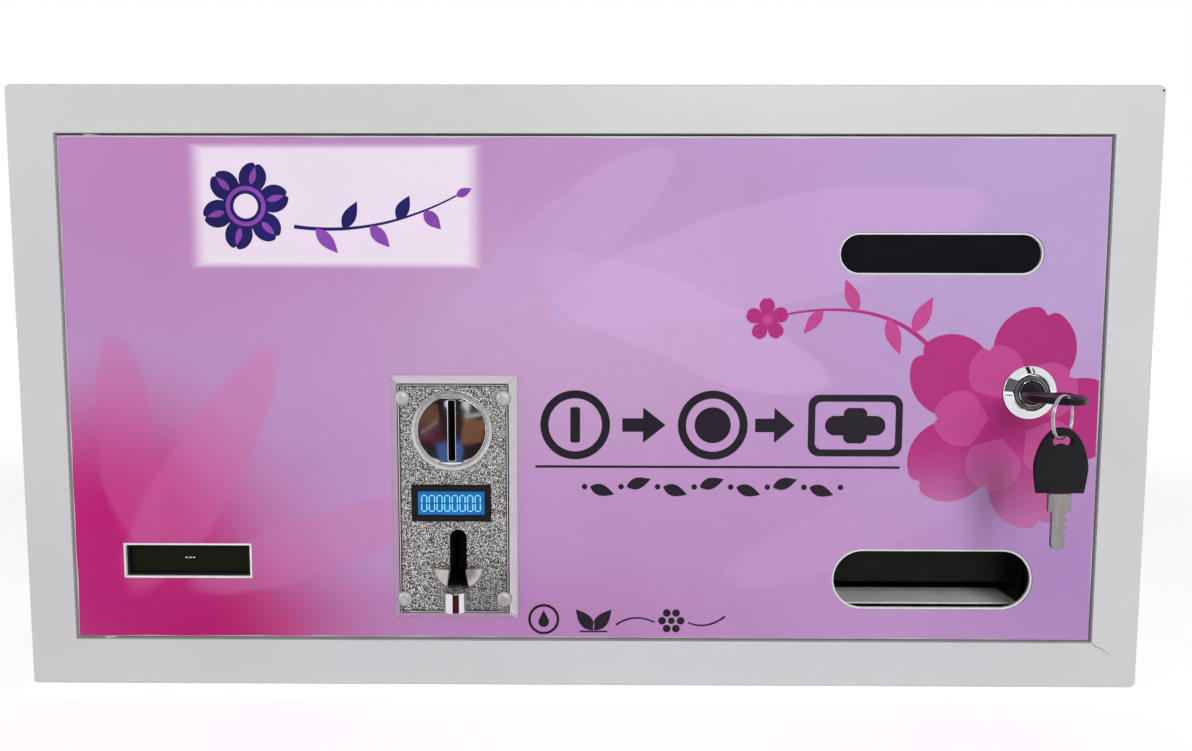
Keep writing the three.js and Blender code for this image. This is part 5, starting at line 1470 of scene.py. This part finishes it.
@dataclass
class Cabinet(SubAssembly):
    """The welded cabinet with its back panel, hinges and grommet."""

    width: float = 600.0
    height: float = 320.0
    frame_width: float = 25.0
    fold_radius: float = 1.6
    corner_radius: float = 3.9
    crack: tuple[Point, ...] = ((0.2, -0.3), (2.4, -2.0), (5.2, -3.0), (7.6, -4.9), (10.6, -6.6))
    crack_start: float = 0.42
    crack_end: float = 0.12
    pit_inset: Point = (1.9, 3.1)
    pit_half: Point = (0.75, 0.5)
    mark_height: float = 0.03

    def build(self) -> None:
        """Makes the cabinet's pieces."""
        self.shop.refine_all(
            Body.CABINET,
            ("cabinet_shell", POWDER_COAT, 0.3, 35, self.fold_radius, self.corner_radius),
            ("back_panel", POWDER_COAT, 0.2, 35, 0.4, self.corner_radius),
            ("hinge_pin_bottom", BRIGHT_STEEL, 0.3),
            ("hinge_bush_bottom", NYLON, 0.1),
            ("hinge_pin_top", BRIGHT_STEEL, 0.3),
            ("hinge_bush_top", NYLON, 0.1),
            ("cord_grommet", RUBBER, 0.5, 40),
        )
        self.build_marks()

    def build_marks(self) -> None:
        """Makes the hairline crack at the lower right mitre and the small pit in the upper right corner as thin dark
        slabs: painted shade of the open crack and the pit.
        """
        x, z = self.width - self.frame_width, self.frame_width
        crack = ribbon([(x + u, z + v) for u, v in self.crack], self.crack_start, self.crack_end)
        middle_x, middle_z = self.width - self.pit_inset[0], self.height - self.pit_inset[1]
        pit = [(middle_x + self.pit_half[0] * u, middle_z + self.pit_half[1] * v) for u, v in circle(0, 0, 1, 20)]
        for name, loop in (("paint_crack", crack), ("corner_pit", pit)):
            self.shop.put(name, slabs([loop], -self.mark_height, 0.0), CREVICE_SHADE, Body.CABINET)


@dataclass
class DoorPanel(SubAssembly):
    """The folded door pan with its stiffener, window and display module."""

    edge_back: float = 2.3
    edge_overlap: float = -0.3
    edge_rounding: float = 0.12
    cell_width: float = 2.95
    cell_height: float = 4.95
    cell_pitch_x: float = 3.6
    cell_pitch_z: float = 5.7
    glass_front: float = 3.7
    board_back: float = 11.4
    pin_pitch: float = 2.54

    def build(self) -> None:
        """Makes the door's sheet-metal pieces, its window and its text display."""
        self.shop.refine_all(
            Body.DOOR, ("door_panel", POWDER_COAT, 0.2, 35, 1.2), ("door_stiffener", GALVANISED, 0.4)
        )
        self.build_edges()
        self.shop.refine_all(
            Body.DOOR,
            ("view_window", SMOKED_ACRYLIC, 0.3),
            ("lcd_bezel", BLACK_ABS, 0.35),
            ("lcd_glass", DISPLAY_GLASS, 0.1),
            ("lcd_board", BOARD, 0.15),
        )
        self.build_cells()

    def build_edges(self) -> None:
        """Makes the bare cut edge round the door's two slots and its display window."""
        round_ends = [(opening.height / 2 + 0.5, opening.height / 2 - 0.15) for opening in (WINDOW, OUTLET)]
        for name, opening, front, grow, corners, steps in (
            ("window", WINDOW, 0.55, 1.0, round_ends[0], 40),
            ("outlet", OUTLET, 0.55, 1.0, round_ends[1], 40),
            ("display", DISPLAY, 0.5, 1.8, (0.5, 0.4), 4),
        ):
            outer = opening.outline(grow, corners[0], steps)
            inner = opening.outline(self.edge_overlap, corners[1], steps)
            edge = slabs([outer, inner], front, self.edge_back, self.edge_rounding)
            self.shop.put(f"{name}_edge", edge, PALE_EDGE, Body.DOOR, (), 0.0, 60)

    def build_cells(self) -> None:
        """Makes the faint character cells on the display's glass and the solder joints behind it."""
        x, z, front = DISPLAY.x, DISPLAY.z, self.glass_front
        cells = [
            Vector((x + self.cell_pitch_x * (i - 7.5), front, z + self.cell_pitch_z * (j - 0.5)))
            for j in range(2)
            for i in range(16)
        ]
        dots = [Vector((x + shift, front, z + 0.9)) for shift in (-2.1, 0.0, 1.9)]
        pins = [Vector((x + self.pin_pitch * (i - 7.5), self.board_back, z + 15.5)) for i in range(16)]
        half_x, half_z = self.cell_width / 2, self.cell_height / 2
        cell = box(-half_x, half_x, -0.04, 0.0, -half_z, half_z)
        dash = box(-0.62, 0.62, -0.05, 0.0, -0.24, 0.24)
        joint = lathe([(0, 0), (0.85, 0.0), (0.55, 0.5), (0.25, 1.1), (0, 1.2)], 12).moved(Axis.Y.value)
        self.shop.repeat("display_cells", cells, cell, UNLIT_CELL, Body.DOOR)
        # Painted light: the three dashes glow though the display's backlight is off.
        self.shop.repeat("display_lit_dots", dots, dash, GLOW_PAINTED_CELL, Body.DOOR)
        self.shop.repeat("display_solder_joints", pins, joint, SOLDER, Body.DOOR)


@dataclass
class DoorPrint(SubAssembly):
    """The printed vinyl on the door: its hand-trimmed edge, its cuts, its blister and its artwork."""

    front: float = 0.3
    back: float = 0.7
    wave: float = 0.55
    ink: float = 0.05
    clearance: float = 2.0
    lock_hole: float = 11.8
    bolt_x: float = 26.6
    bolt_z: float = 53.9
    bolt_hole: float = 3.2
    blister: tuple[float, float, float] = (449.6, 0.3, 200.0)
    steps_z: float = 143.0
    symbol_radius: float = 18.5
    line_width: float = 4.3
    border_z: float = 109.8
    border_pitch: float = 19.5
    flower: tuple[float, float, float] = (526.0, 147.0, 61.0)
    card_flower: Point = (124.0, 257.5)

    def build(self) -> None:
        """Makes the vinyl and its printed motifs."""
        ends = ((WINDOW, 11.1, 24), (OUTLET, 16.6, 28), (DISPLAY, 0.3, 2), (ACCEPTOR, 0.3, 2))
        holes = [opening.outline(self.clearance, corner, steps) for opening, corner, steps in ends]
        holes.append(circle(LOCK_X, LOCK_Z, self.lock_hole, 48))
        holes += [
            circle(ACCEPTOR.x + a * self.bolt_x, ACCEPTOR.z + b * self.bolt_z, self.bolt_hole, 24)
            for a in (-1, 1)
            for b in (-1, 1)
        ]
        low, high = node_box("vinyl_graphic")
        vinyl = slabs([self.edge(low.x, high.x, low.z, high.z), *holes], self.front, self.back)
        self.shop.put("vinyl_print", vinyl, PRINTED_VINYL, Body.DOOR, ("vinyl_graphic",))
        blister = lathe([(0, -0.1), (1.5, -0.1), (1.5, 0.0), (1.1, 0.13), (0.5, 0.24), (0, 0.27)], 32)
        blister = blister.at(*self.blister, Axis.FRONT)
        self.shop.put("vinyl_blister", blister, PRINTED_VINYL, Body.DOOR)
        self.build_steps()
        self.build_branch(high.x - 0.9)
        self.build_card()
        self.build_marks()

    def edge(self, left: float, right: float, bottom: float, top: float) -> Loop:
        """Draws the hand-trimmed outline of the vinyl.

        Args:
            left: the lowest X it may reach.
            right: the highest X.
            bottom: the lowest Z.
            top: the highest Z.

        Returns:
            The outline's points.
        """
        corners = [(left, bottom), (right, bottom), (right, top), (left, top)]
        made: Loop = []
        for (u0, v0), (u1, v1) in zip(corners, corners[1:] + corners[:1]):
            length = math.hypot(u1 - u0, v1 - v0)
            steps = int(length / 4)
            inward = Vector((-(v1 - v0), u1 - u0)) / length
            for i in range(steps):
                share = i / steps
                u, v = u0 + (u1 - u0) * share, v0 + (v1 - v0) * share
                sag = 0.5 + 0.9 * noise.noise(Vector((u * 0.045, v * 0.045, 7.3)))
                reach = self.wave * max(0.0, sag) * min(1.0, share * 12, (1 - share) * 12)
                made.append((u + inward.x * reach, v + inward.y * reach))
        return made

    def layer(
        self, name: str, loops: Sequence[Loop], finish: Finish, level: int = 0, round_lock: bool = False
    ) -> None:
        """Prints loops on the vinyl as one thin layer.

        Args:
            name: the layer's name, without its first word.
            loops: the outlines, where one inside another is a hole.
            finish: the ink.
            level: 0 for the layer on the vinyl, and 1 or more for those over it.
            round_lock: True leaves the ink out where the lock goes through.
        """
        back = self.front - self.ink * level
        mesh = self.shop.mesh_of(f"print_{name}", slabs(loops, back - self.ink, back))
        if round_lock:
            plug = slabs([circle(LOCK_X, LOCK_Z, self.lock_hole, 96)], back - 1, back + 1)
            mesh = self.shop.cut(mesh, plug)
        self.shop.finish_mesh(f"print_{name}", mesh, finish, Body.DOOR)

    def build_steps(self) -> None:
        """Prints the pictograms for use: coin, button, pack, with arrows, an underline and a leaf border."""
        z, radius = self.steps_z, self.symbol_radius
        inner = radius - self.line_width
        loops = [
            circle(296, z, radius),
            circle(296, z, inner),
            rounded(296, z, 5.2, 19, 1.2),
            circle(369, z, radius),
            circle(369, z, inner),
            circle(369, z, 9.6),
            arrow(332.5, z, 23, 19),
            arrow(402, z, 21, 19),
            rounded(444.5, z, 50, 33, 6),
            rounded(444.5, z, 42.5, 25.5, 3.5),
            rounded(371.7, 120.6, 194, 1.3, 0.3, 2),
        ]
        self.layer("steps", loops, PRINT_INK)
        self.layer("pad", [rounded(444.5, z, 32, 10.5, 5.2)], PRINT_INK)
        self.layer("pad_wings", [rounded(444.5, z, 12.5, 19, 3.4)], PRINT_INK, 1)
        pitch, level = self.border_pitch, self.border_z
        border = [leaf(304 + pitch * i, level, 13.5, 6.2, 18 if i % 2 else -18) for i in range(7)]
        border += [circle(301 + pitch * i, level, 1.5, 24) for i in range(8)]
        self.layer("border", border, PRINT_INK)

    def build_branch(self, right: float) -> None:
        """Prints a large blossom and a sprig in magenta at the door's right side.

        Args:
            right: where the vinyl's edge cuts the print off.
        """
        x, z, radius = self.flower
        big = clipped(blossom(x, z, radius, 5, 0, 0.46), 0.0, right, 0.0, 320.0)
        stem = bend((488, 178), (462, 215), (398, 200), 34)
        sizes = ((8, 21, 8.5, 62), (14, 20, 8, -70), (20, 18, 7.4, 112), (26, 16, 6.4, -128))
        leaves = [leaf(*stem[i], length, width, turn) for i, length, width, turn in sizes]
        self.layer("big_blossom", [big], MAGENTA_INK, 1, True)
        self.layer("big_blossom_inner", [blossom(x, z, radius * 0.66, 5, 36, 0.5)], MAGENTA_ROSE, 2, True)
        self.layer("big_blossom_heart", [star(x, z, 25, 11, 5, 0)], MAGENTA_INK, 3, True)
        self.layer("stem", [ribbon(stem, 2.6, 0.9)], MAGENTA_INK)
        self.layer("leaves", leaves, MAGENTA_ROSE, 1)
        self.layer("bud", [blossom(397, 199, 11.5, 5, 20)], MAGENTA_INK, 1)
        self.layer("bud_heart", [circle(397, 199, 2.6, 30)], MAGENTA_ROSE, 2)

    def build_card(self) -> None:
        """Prints a blue and violet sprig on the pale card."""
        x, z = self.card_flower
        veins = [leaf(*polar(x, z, 11.5, turn), 9.5, 3.4, turn) for turn in range(15, 375, 60)]
        stem = bend((149, 247), (192, 241), (234, 263), 30)
        leaves = [leaf(*stem[4 + 5 * i], 17 - i, 7.0, 62 if i % 2 else -48) for i in range(5)]
        self.layer("card_blossom", [blossom(x, z, 23, 6, 15, 0.5), circle(x, z, 6.4, 40)], INDIGO_INK)
        self.layer("card_ring", [circle(x, z, 10.4, 60), circle(x, z, 8.2, 60)], VIOLET_INK, 1)
        self.layer("card_veins", veins, VIOLET_INK, 1)
        self.layer("card_stem", [ribbon(stem, 2.0, 0.8)], INDIGO_INK)
        self.layer("card_leaves", leaves[::2] + [leaf(*stem[-1], 9, 4.6, 25)], VIOLET_INK, 1)
        self.layer("card_leaves_dark", leaves[1::2], INDIGO_INK, 1)

    def build_marks(self) -> None:
        """Prints three plain marks near the lower edge: a droplet in a ring, a pair of leaves and a flower."""
        ring = [circle(279, 37, 8.4), circle(279, 37, 7.0), drop(279, 35.6, 2.9, 6.4)]
        pair = [leaf(306, 31, 15, 7, 50), leaf(306, 31, 15, 7, 130), rounded(306, 30.3, 15, 0.9, 0.2, 2)]
        flower = [circle(*polar(348, 36.4, 5, turn), 2.1, 24) for turn in range(0, 360, 60)]
        vine = [ribbon(bend((318, 34), (328, 41), (339, 35.5), 20), 1.1, 0.8)]
        vine += [ribbon(bend((357, 35.5), (367, 31), (377, 39), 20), 0.8, 1.1)]
        self.layer("marks", [*ring, *pair, *flower, circle(348, 36.4, 1.8, 24), *vine], PRINT_INK)


@dataclass
class CoinAcceptor(SubAssembly):
    """The cast coin acceptor: front plate, button, lit display, return cup and the body behind the door."""

    x: float = ACCEPTOR.x
    z: float = ACCEPTOR.z
    plate_face: float = -4.3
    bolt_length: float = 9.5
    bolt_head: Point = (4.1, 2.2)
    button_x: float = -0.5
    button_z: float = 36.9
    button_radius: float = 18.2
    button_front: float = -5.9
    button_back: float = -0.9
    slot_width: float = 3.6
    slot_height: float = 32.0
    button_travel: float = 4.0
    ring_front: float = -5.5
    ring_profile: tuple[Point, ...] = (
        (18.55, 0.25), (18.75, -0.02), (19.0, -0.06), (20.7, -0.06), (21.25, 0.12), (21.45, 1.0), (18.55, 1.0),
    )
    lens_front: float = -4.9
    digit_pitch: float = 4.05
    digit_height: float = 8.4
    digit_width: float = 2.7
    bar_width: float = 0.58
    rim_foot: tuple[float, float, float] = (33.2, -0.7, 65.5)
    rim_top: tuple[float, float, float] = (28.9, -4.95, 61.2)
    bead: tuple[float, float, float] = (28.55, -4.9, 60.85)
    groove: tuple[float, float, float] = (27.93, -4.32, 60.23)
    spout_outer: float = 6.45
    spout_inner: float = 4.85

    def build(self) -> None:
        """Makes the acceptor's pieces."""
        self.shop.refine("acceptor_front_plate", PLATE_ZINC, Body.DOOR, 0.22, 30)
        self.build_bolts()
        self.build_button()
        self.shop.refine_all(Body.DOOR, ("display_frame", BLACK_ABS, 0.45), ("display_lens", BLUE_DISPLAY, 0.25))
        self.build_digits()
        self.shop.refine("return_cup", BRUSHED_ZINC, Body.DOOR, 0.15, 40)
        self.build_spout()
        self.build_ridges()
        self.shop.refine_all(
            Body.DOOR,
            ("acceptor_housing", BLACK_ABS, 0.5),
            ("acceptor_circuit_board", BOARD, 0.15),
            ("coin_deflector", GALVANISED, 0.3),
            ("gate_pin", BRIGHT_STEEL, 0.2),
        )
        self.shop.refine("acceptor_gate", BLUE_PLASTIC, Body.GATE, 0.3)
        spring = self.shop.refine("reject_spring", BRIGHT_STEEL, Body.DOOR, 0.0, 60)
        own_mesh(spring)

    def build_bolts(self) -> None:
        """Makes the four dome-headed bolts."""
        radius, height = self.bolt_head
        angles = [math.radians(a) for a in range(0, 90, 10)]
        dome = [(radius * math.cos(a), height * math.sin(a)) for a in angles]
        shank = [(0.0, -self.bolt_length), (1.9, -self.bolt_length), (1.9, 0.0)]
        bolt = lathe([*shank, *dome, (0.0, height)], 48)
        for i in range(1, 5):
            low, high = node_box(f"acceptor_bolt_{i}")
            middle = (low + high) / 2
            placed = bolt.at(middle.x, self.plate_face - 0.3, middle.z, Axis.FRONT)
            self.shop.put(f"bolt_{i}", placed, CAST_ZINC, Body.DOOR, (f"acceptor_bolt_{i}",), 0.0, 50)

    def build_button(self) -> None:
        """Makes the chrome press button with its coin slot, and the polished ring round it."""
        u, v = self.x + self.button_x, self.z + self.button_z
        slot = rounded(u, v, self.slot_width, self.slot_height, 0.5, 3)
        disc = slabs([circle(u, v, self.button_radius, 160), slot], self.button_front, self.button_back, 0.35)
        self.shop.put("button_disc", disc, CHROME, Body.BUTTON, ("reject_button",), 0.0, 50)
        front = min(node_box("acceptor_front_plate")[0].y, self.ring_front)
        ring = lathe(self.ring_profile, 160, True).at(u, front, v, Axis.Y)
        self.shop.put("button_ring", ring, POLISHED_ZINC, Body.DOOR, (), 0.0, 40)

    def build_digits(self) -> None:
        """Makes the lit bars of eight zeros on the status display."""
        tall, wide, bar = self.digit_height, self.digit_width, self.bar_width
        v = self.z - 2.05
        loops: list[Loop] = []
        for i in range(8):
            u = self.x - 1.35 + self.digit_pitch * (i - 3.5)
            for side in (-1, 1):
                loops.append(rounded(u, v + side * tall / 2, wide - bar * 1.1, bar, 0.3, 3))
                for half in (-1, 1):
                    loops.append(rounded(u + side * wide / 2, v + half * tall / 4, bar, tall / 2 - bar * 1.1, 0.3, 3))
        self.shop.put("display_bars", slabs(loops, self.lens_front - 0.05, self.lens_front), LIT_BAR, Body.DOOR)

    def corner(self, place: tuple[float, float, float], a: int, b: int) -> Vector:
        """Returns the place that lies this far out from the plate's middle, to the side a and the end b."""
        return Vector((self.x + a * place[0], place[1], self.z + b * place[2]))

    def frame_path(self, place: tuple[float, float, float]) -> list[Vector]:
        """Returns points on a rectangle round the plate's middle, six on each side."""
        corners = [self.corner(place, a, b) for a, b in ((-1, -1), (1, -1), (1, 1), (-1, 1))]
        return [a.lerp(b, i / 6) for a, b in zip(corners, corners[1:] + corners[:1]) for i in range(6)]

    def build_ridges(self) -> None:
        """Makes the cast ridges on the rim, one along each mitre, the fine bead and inside it a thin dark tube, painted
        shade for the groove.
        """
        shapes = []
        for a, b in ((-1, -1), (-1, 1), (1, -1), (1, 1)):
            outer, inner = self.corner(self.rim_foot, a, b), self.corner(self.rim_top, a, b)
            shapes.append(sweep([outer.lerp(inner, i / 8) for i in range(9)], lambda share: 0.62 - 0.22 * share, 10))
        shapes.append(sweep(self.frame_path(self.bead), 0.28, 8, True))
        self.shop.put("rim_ridges", together(shapes), POLISHED_ZINC, Body.DOOR, (), 0.0, 60)
        # Painted shade: a thin dark tube inside the bead stands for the shade in the groove round the panel.
        groove = sweep(self.frame_path(self.groove), 0.2, 8, True)
        self.shop.put("panel_groove", groove, CREVICE_SHADE, Body.DOOR, (), 0.0, 60)

    def build_spout(self) -> None:
        """Makes the chrome half-round spout below the cup."""
        u, v = self.x + 0.4, self.plate_face - 0.3
        wall = arc(u, v, self.spout_outer, 180, 360, 64) + arc(u, v, self.spout_inner, 360, 180, 64)
        spout = slabs([wall], self.z - 60.1, self.z - 49.5, 0.25, Axis.Z)
        self.shop.put("spout", spout, CHROME, Body.DOOR, ("return_spout",), 0.0, 50)


@dataclass
class CamLock(SubAssembly):
    """The cam lock: chrome housing, nut, plug, cam and screw."""

    flange: tuple[Point, ...] = (
        (9.5, -3.45), (9.62, -3.6), (9.95, -3.6), (10.2, -3.5), (13.8, -1.35), (14.0, -1.1),
        (14.0, 0.0), (10.5, 0.0), (10.5, 14.6), (6.6, 14.6), (6.6, -0.3), (9.5, -0.3),
    )
    collar: tuple[Point, ...] = ((7.35, 0.02), (7.5, -0.12), (8.75, -0.12), (8.9, 0.02), (8.9, 0.3), (7.35, 0.3))
    rim: tuple[Point, ...] = (
        (6.35, 0.0), (6.45, -0.22), (6.62, -0.3), (6.8, -0.22), (6.9, 0.0), (6.9, 0.3), (6.35, 0.3),
    )

    def build(self) -> None:
        """Makes the lock's pieces."""
        housing = lathe(self.flange, 144, True).at(LOCK_X, 0, LOCK_Z, Axis.Y)
        self.shop.put("lock_cylinder", housing, CHROME, Body.DOOR, ("lock_housing",), 0.0, 22)
        self.shop.refine("lock_nut", BRIGHT_STEEL, Body.DOOR, 0.4)
        self.shop.refine("lock_plug", PLUG_ZINC, Body.LOCK, 0.2, 28)
        face = node_box("lock_plug")[0].y
        for name, profile, finish in (("collar", self.collar, WORN_ZINC), ("rim", self.rim, CHROME)):
            turned = lathe(profile, 120, True).at(LOCK_X, face, LOCK_Z, Axis.Y)
            self.shop.put(f"plug_{name}", turned, finish, Body.LOCK)
        self.shop.refine_all(Body.LOCK, ("lock_cam", BRIGHT_STEEL, 0.3), ("cam_screw", BRIGHT_STEEL, 0.25))


@dataclass
class KeySet(SubAssembly):
    """The key in the lock, the split ring and the spare key, with their moulded grips and foot bands."""

    ring_place: tuple[float, float, float] = (530.176, -46.067, 153.76)
    ring_radius: float = 10.6
    ring_turn_deg: float = 40.0
    ring_steps: int = 144
    wire_radius: float = 0.45
    overlap: float = 0.43
    grip_width: float = 25.6
    grip_length: float = 31.7
    grip_rounding: float = 0.85
    grip_shares: tuple[Point, ...] = (
        (0.44, 0.0), (0.5, 0.34), (0.475, 0.55), (0.385, 0.76), (0.27, 0.9), (0.15, 0.98), (0.05, 1.0),
    )
    hole_inset: float = 6.1
    hole_radius: float = 4.6
    hole_rise: float = 2.1
    band_low: float = 0.9
    band_high: float = 5.4
    band_inset: float = 1.3
    band_proud: float = 0.2

    def build(self) -> None:
        """Makes the keys and their ring."""
        self.shop.refine("key_blade", BLADE_STEEL, Body.KEY, 0.15)
        self.shop.refine("spare_key_blade", BLADE_STEEL, Body.SPARE_KEY, 0.15)
        self.build_grips()
        turn = math.radians(self.ring_turn_deg)
        across = Vector((math.cos(turn), math.sin(turn), 0))
        through = Vector((-math.sin(turn), math.cos(turn), 0))
        path = []
        for i in range(self.ring_steps + 1):
            angle = math.tau * 2 * i / self.ring_steps + 0.6
            shift = self.overlap * max(-1.0, min(1.0, (i / self.ring_steps - 0.5) * 8))
            spot = across * math.cos(angle) + Vector((0, 0, math.sin(angle)))
            path.append(Vector(self.ring_place) + spot * self.ring_radius + through * shift)
        self.shop.wire("split_ring", path, self.wire_radius, Body.RING, ("key_ring",), 14)

    def grip(self, middle: float, foot: float, way: int, grow: float = 0.0, dip: float = 3.0) -> list[Loop]:
        """Draws a grip and its kidney-shaped hole.

        Args:
            middle: the grip's centre line.
            foot: where it meets the blade.
            way: 1 or -1 for the direction from foot to top.
            grow: how much larger than the grip the outline is.
            dip: how far the hole's foot side bulges into it.

        Returns:
            The outline and the hole's outline.
        """
        width, length = self.grip_width + 2 * grow, self.grip_length + 2 * grow
        side = [(u * width, v * length - grow) for u, v in self.grip_shares]
        outline = side[:1] + smooth(side + [(-u, v) for u, v in reversed(side)], 8) + [(-side[0][0], side[0][1])]
        hole = []
        for i in range(48):
            across, up = polar(0, 0, 1, 360 * i / 48)
            reach = self.hole_radius if up < 0 else self.hole_rise
            bulge = dip * (1 - across * across) ** 2 if up < 0 else 0.0
            hole.append((self.hole_radius * across, self.grip_length - self.hole_inset + reach * up + bulge))
        return [[(middle + u, foot + way * v) for u, v in loop] for loop in (outline, hole)]

    def build_grips(self) -> None:
        """Makes the two moulded grips, each with a low band round its foot."""
        low, high = node_box("spare_key_bow")
        self.build_grip("spare_", Body.SPARE_KEY, "spare_key_bow", low.z, 1, (low.y, high.y), Axis.FRONT, 3.0)
        low, high = node_box("key_bow")
        self.build_grip("", Body.KEY, "key_bow", high.y, -1, (low.z, high.z), Axis.Z, 2.0)

    def build_grip(
        self, name: str, body: Body, node: str, foot: float, way: int, faces: Point, axis: Axis, dip: float
    ) -> None:
        """Makes one grip and its band.

        Args:
            name: what the names of its pieces start with.
            body: the body it rides on.
            node: the frame's node that it replaces.
            foot: where it meets the blade.
            way: 1 or -1 for the direction from foot to top.
            faces: its two flat faces, front or lower one first.
            axis: the direction through it.
            dip: how far the hole's foot side bulges into it.
        """
        low, high = node_box(node)
        middle = (low.x + high.x) / 2
        grip = slabs(self.grip(middle, foot, way, 0.0, dip), *faces, self.grip_rounding, axis)
        self.shop.put(f"{name}grip", grip, BLACK_ABS, body, (node,), 0.0, 50)
        ends = sorted((foot + way * self.band_low, foot + way * self.band_high))
        loop = clipped(self.grip(middle, foot, way, -self.band_inset)[0], 0, 1000, *ends)
        band = slabs([loop], faces[0] - self.band_proud, faces[1] + self.band_proud, 0.15, axis)
        self.shop.put("spare_band" if name else "grip_band", band, BLACK_ABS, body)


@dataclass
class SpiralDispenser(SubAssembly):
    """The motor-driven spiral with its tray and brackets."""

    axis_y: float = 100.0
    axis_z: float = 223.0
    lead: float = 115.0
    start: float = 120.0
    pitch: float = 344.0 / 12
    turns: int = 12
    lead_turns: float = 0.75
    radius: float = 35.0
    wire_radius: float = 2.0
    steps_per_turn: int = 40

    def build(self) -> None:
        """Makes the dispenser's pieces."""
        for node in ("spiral_tray", "tray_bracket_left", "tray_bracket_right", "motor_bracket"):
            self.shop.refine(node, GALVANISED, Body.CABINET, 0.3)
        self.shop.refine("gearbox_housing", BRIGHT_STEEL, Body.CABINET, 0.6, 30)
        self.shop.refine("motor_can", GALVANISED, Body.CABINET, 0.6, 30)
        self.shop.refine("motor_shaft", BRIGHT_STEEL, Body.SPIRAL, 0.3, 40)
        self.shop.refine("spiral_coupler", BLACK_ABS, Body.SPIRAL, 0.5, 40)
        points = []
        total = self.turns + self.lead_turns
        steps = int(total * self.steps_per_turn)
        for i in range(steps + 1):
            turn = total * i / steps
            opened = min(turn / self.lead_turns, 1.0)
            reach = self.radius * opened * opened * (3 - 2 * opened)
            if turn < self.lead_turns:
                along = self.lead + (self.start - self.lead) * opened
            else:
                along = self.start + (turn - self.lead_turns) * self.pitch
            angle = math.tau * turn
            points.append(Vector((along, self.axis_y + reach * math.cos(angle), self.axis_z + reach * math.sin(angle))))
        self.shop.wire("spiral_wire", points, self.wire_radius, Body.SPIRAL, ("spiral_coil",), 12)


@dataclass
class Delivery(SubAssembly):
    """The chute behind the dispensing slot, its flap and the coin box."""

    landing: float = 40.0
    # Painted light and shade: the pale liner ends here, and the black chute behind it stands for the shade on the rear
    # of the landing.
    lit_liner_back: float = 47.0
    landing_half_width: float = 55.75
    liner: float = 0.4
    front_inset: float = 0.5
    edge_radius: float = 0.55

    def build(self) -> None:
        """Makes the chute, the flap, its rod and the coin box with its bracket."""
        # Painted shade: the chute, the flap rod and the flap are black so that the inside of the dispensing slot shows
        # dark.
        self.shop.refine("delivery_chute", BLACK_SHADE_SHEET, Body.CABINET, 0.3)
        self.shop.refine("flap_rod", BLACK_SHADE_SHEET, Body.CABINET, 0.2, 40)
        self.shop.refine("delivery_flap", BLACK_SHADE_SHEET, Body.FLAP, 0.3, 40)
        low, high = node_box("delivery_chute")
        middle, front = (low.x + high.x) / 2, low.y + self.front_inset
        left, right = middle - self.landing_half_width, middle + self.landing_half_width
        # Painted light: the pale liner over the front of the landing stands for the light through the slot; behind its
        # back edge the black chute shows as painted shade.
        liner = box(left, right, front, self.lit_liner_back, self.landing, self.landing + self.liner)
        self.shop.put("landing_liner", liner, PALE_LIT_SHEET, Body.CABINET)
        edge = [Vector((left + (right - left) * i / 8, front, self.landing + 0.35)) for i in range(9)]
        self.shop.put("landing_edge", sweep(edge, self.edge_radius, 16), PALE_EDGE, Body.CABINET, (), 0.0, 60)
        self.shop.refine("coin_box_bracket", GALVANISED, Body.CABINET, 0.3)
        self.shop.refine("coin_box", GALVANISED, Body.CASH_BOX, 0.35)


@dataclass
class Electronics(SubAssembly):
    """The power supply on the floor and the controller board on the back panel."""

    board_x: float = 42.0
    board_z: float = 76.0
    board_front: float = 188.2
    pin_pitch: float = 5.08

    def build(self) -> None:
        """Makes the electronics and the board's solder joints."""
        self.shop.refine_all(
            Body.CABINET,
            ("power_supply_case", GALVANISED, 0.4),
            ("terminal_block", BLACK_ABS, 0.3),
            ("controller_board", BOARD, 0.15),
            ("relay", BLUE_PLASTIC, 0.4),
            ("capacitor", BLACK_ABS, 0.5, 40),
            ("controller_chip", BLACK_ABS, 0.2),
        )
        x, y, z, pitch = self.board_x, self.board_front, self.board_z, self.pin_pitch
        places = [Vector((x + 14 + pitch * i, y, z + 6)) for i in range(18)]
        places += [Vector((x + 8, y, z + 16 + pitch * i)) for i in range(12)]
        joint = lathe([(0, 0), (1.1, 0.0), (0.7, 0.6), (0.3, 1.3), (0, 1.4)], 12).moved(Axis.FRONT.value)
        self.shop.repeat("controller_solder_joints", places, joint, SOLDER, Body.CABINET)


def main() -> None:
    logging.basicConfig(level=logging.INFO, format="%(message)s")
    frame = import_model()
    Studio().build()
    shop = Workshop(frame)
    for part in (
        Cabinet,
        DoorPanel,
        DoorPrint,
        CoinAcceptor,
        CamLock,
        KeySet,
        SpiralDispenser,
        Delivery,
        Electronics,
    ):
        part(shop).build()


if __name__ == "__main__":
    main()
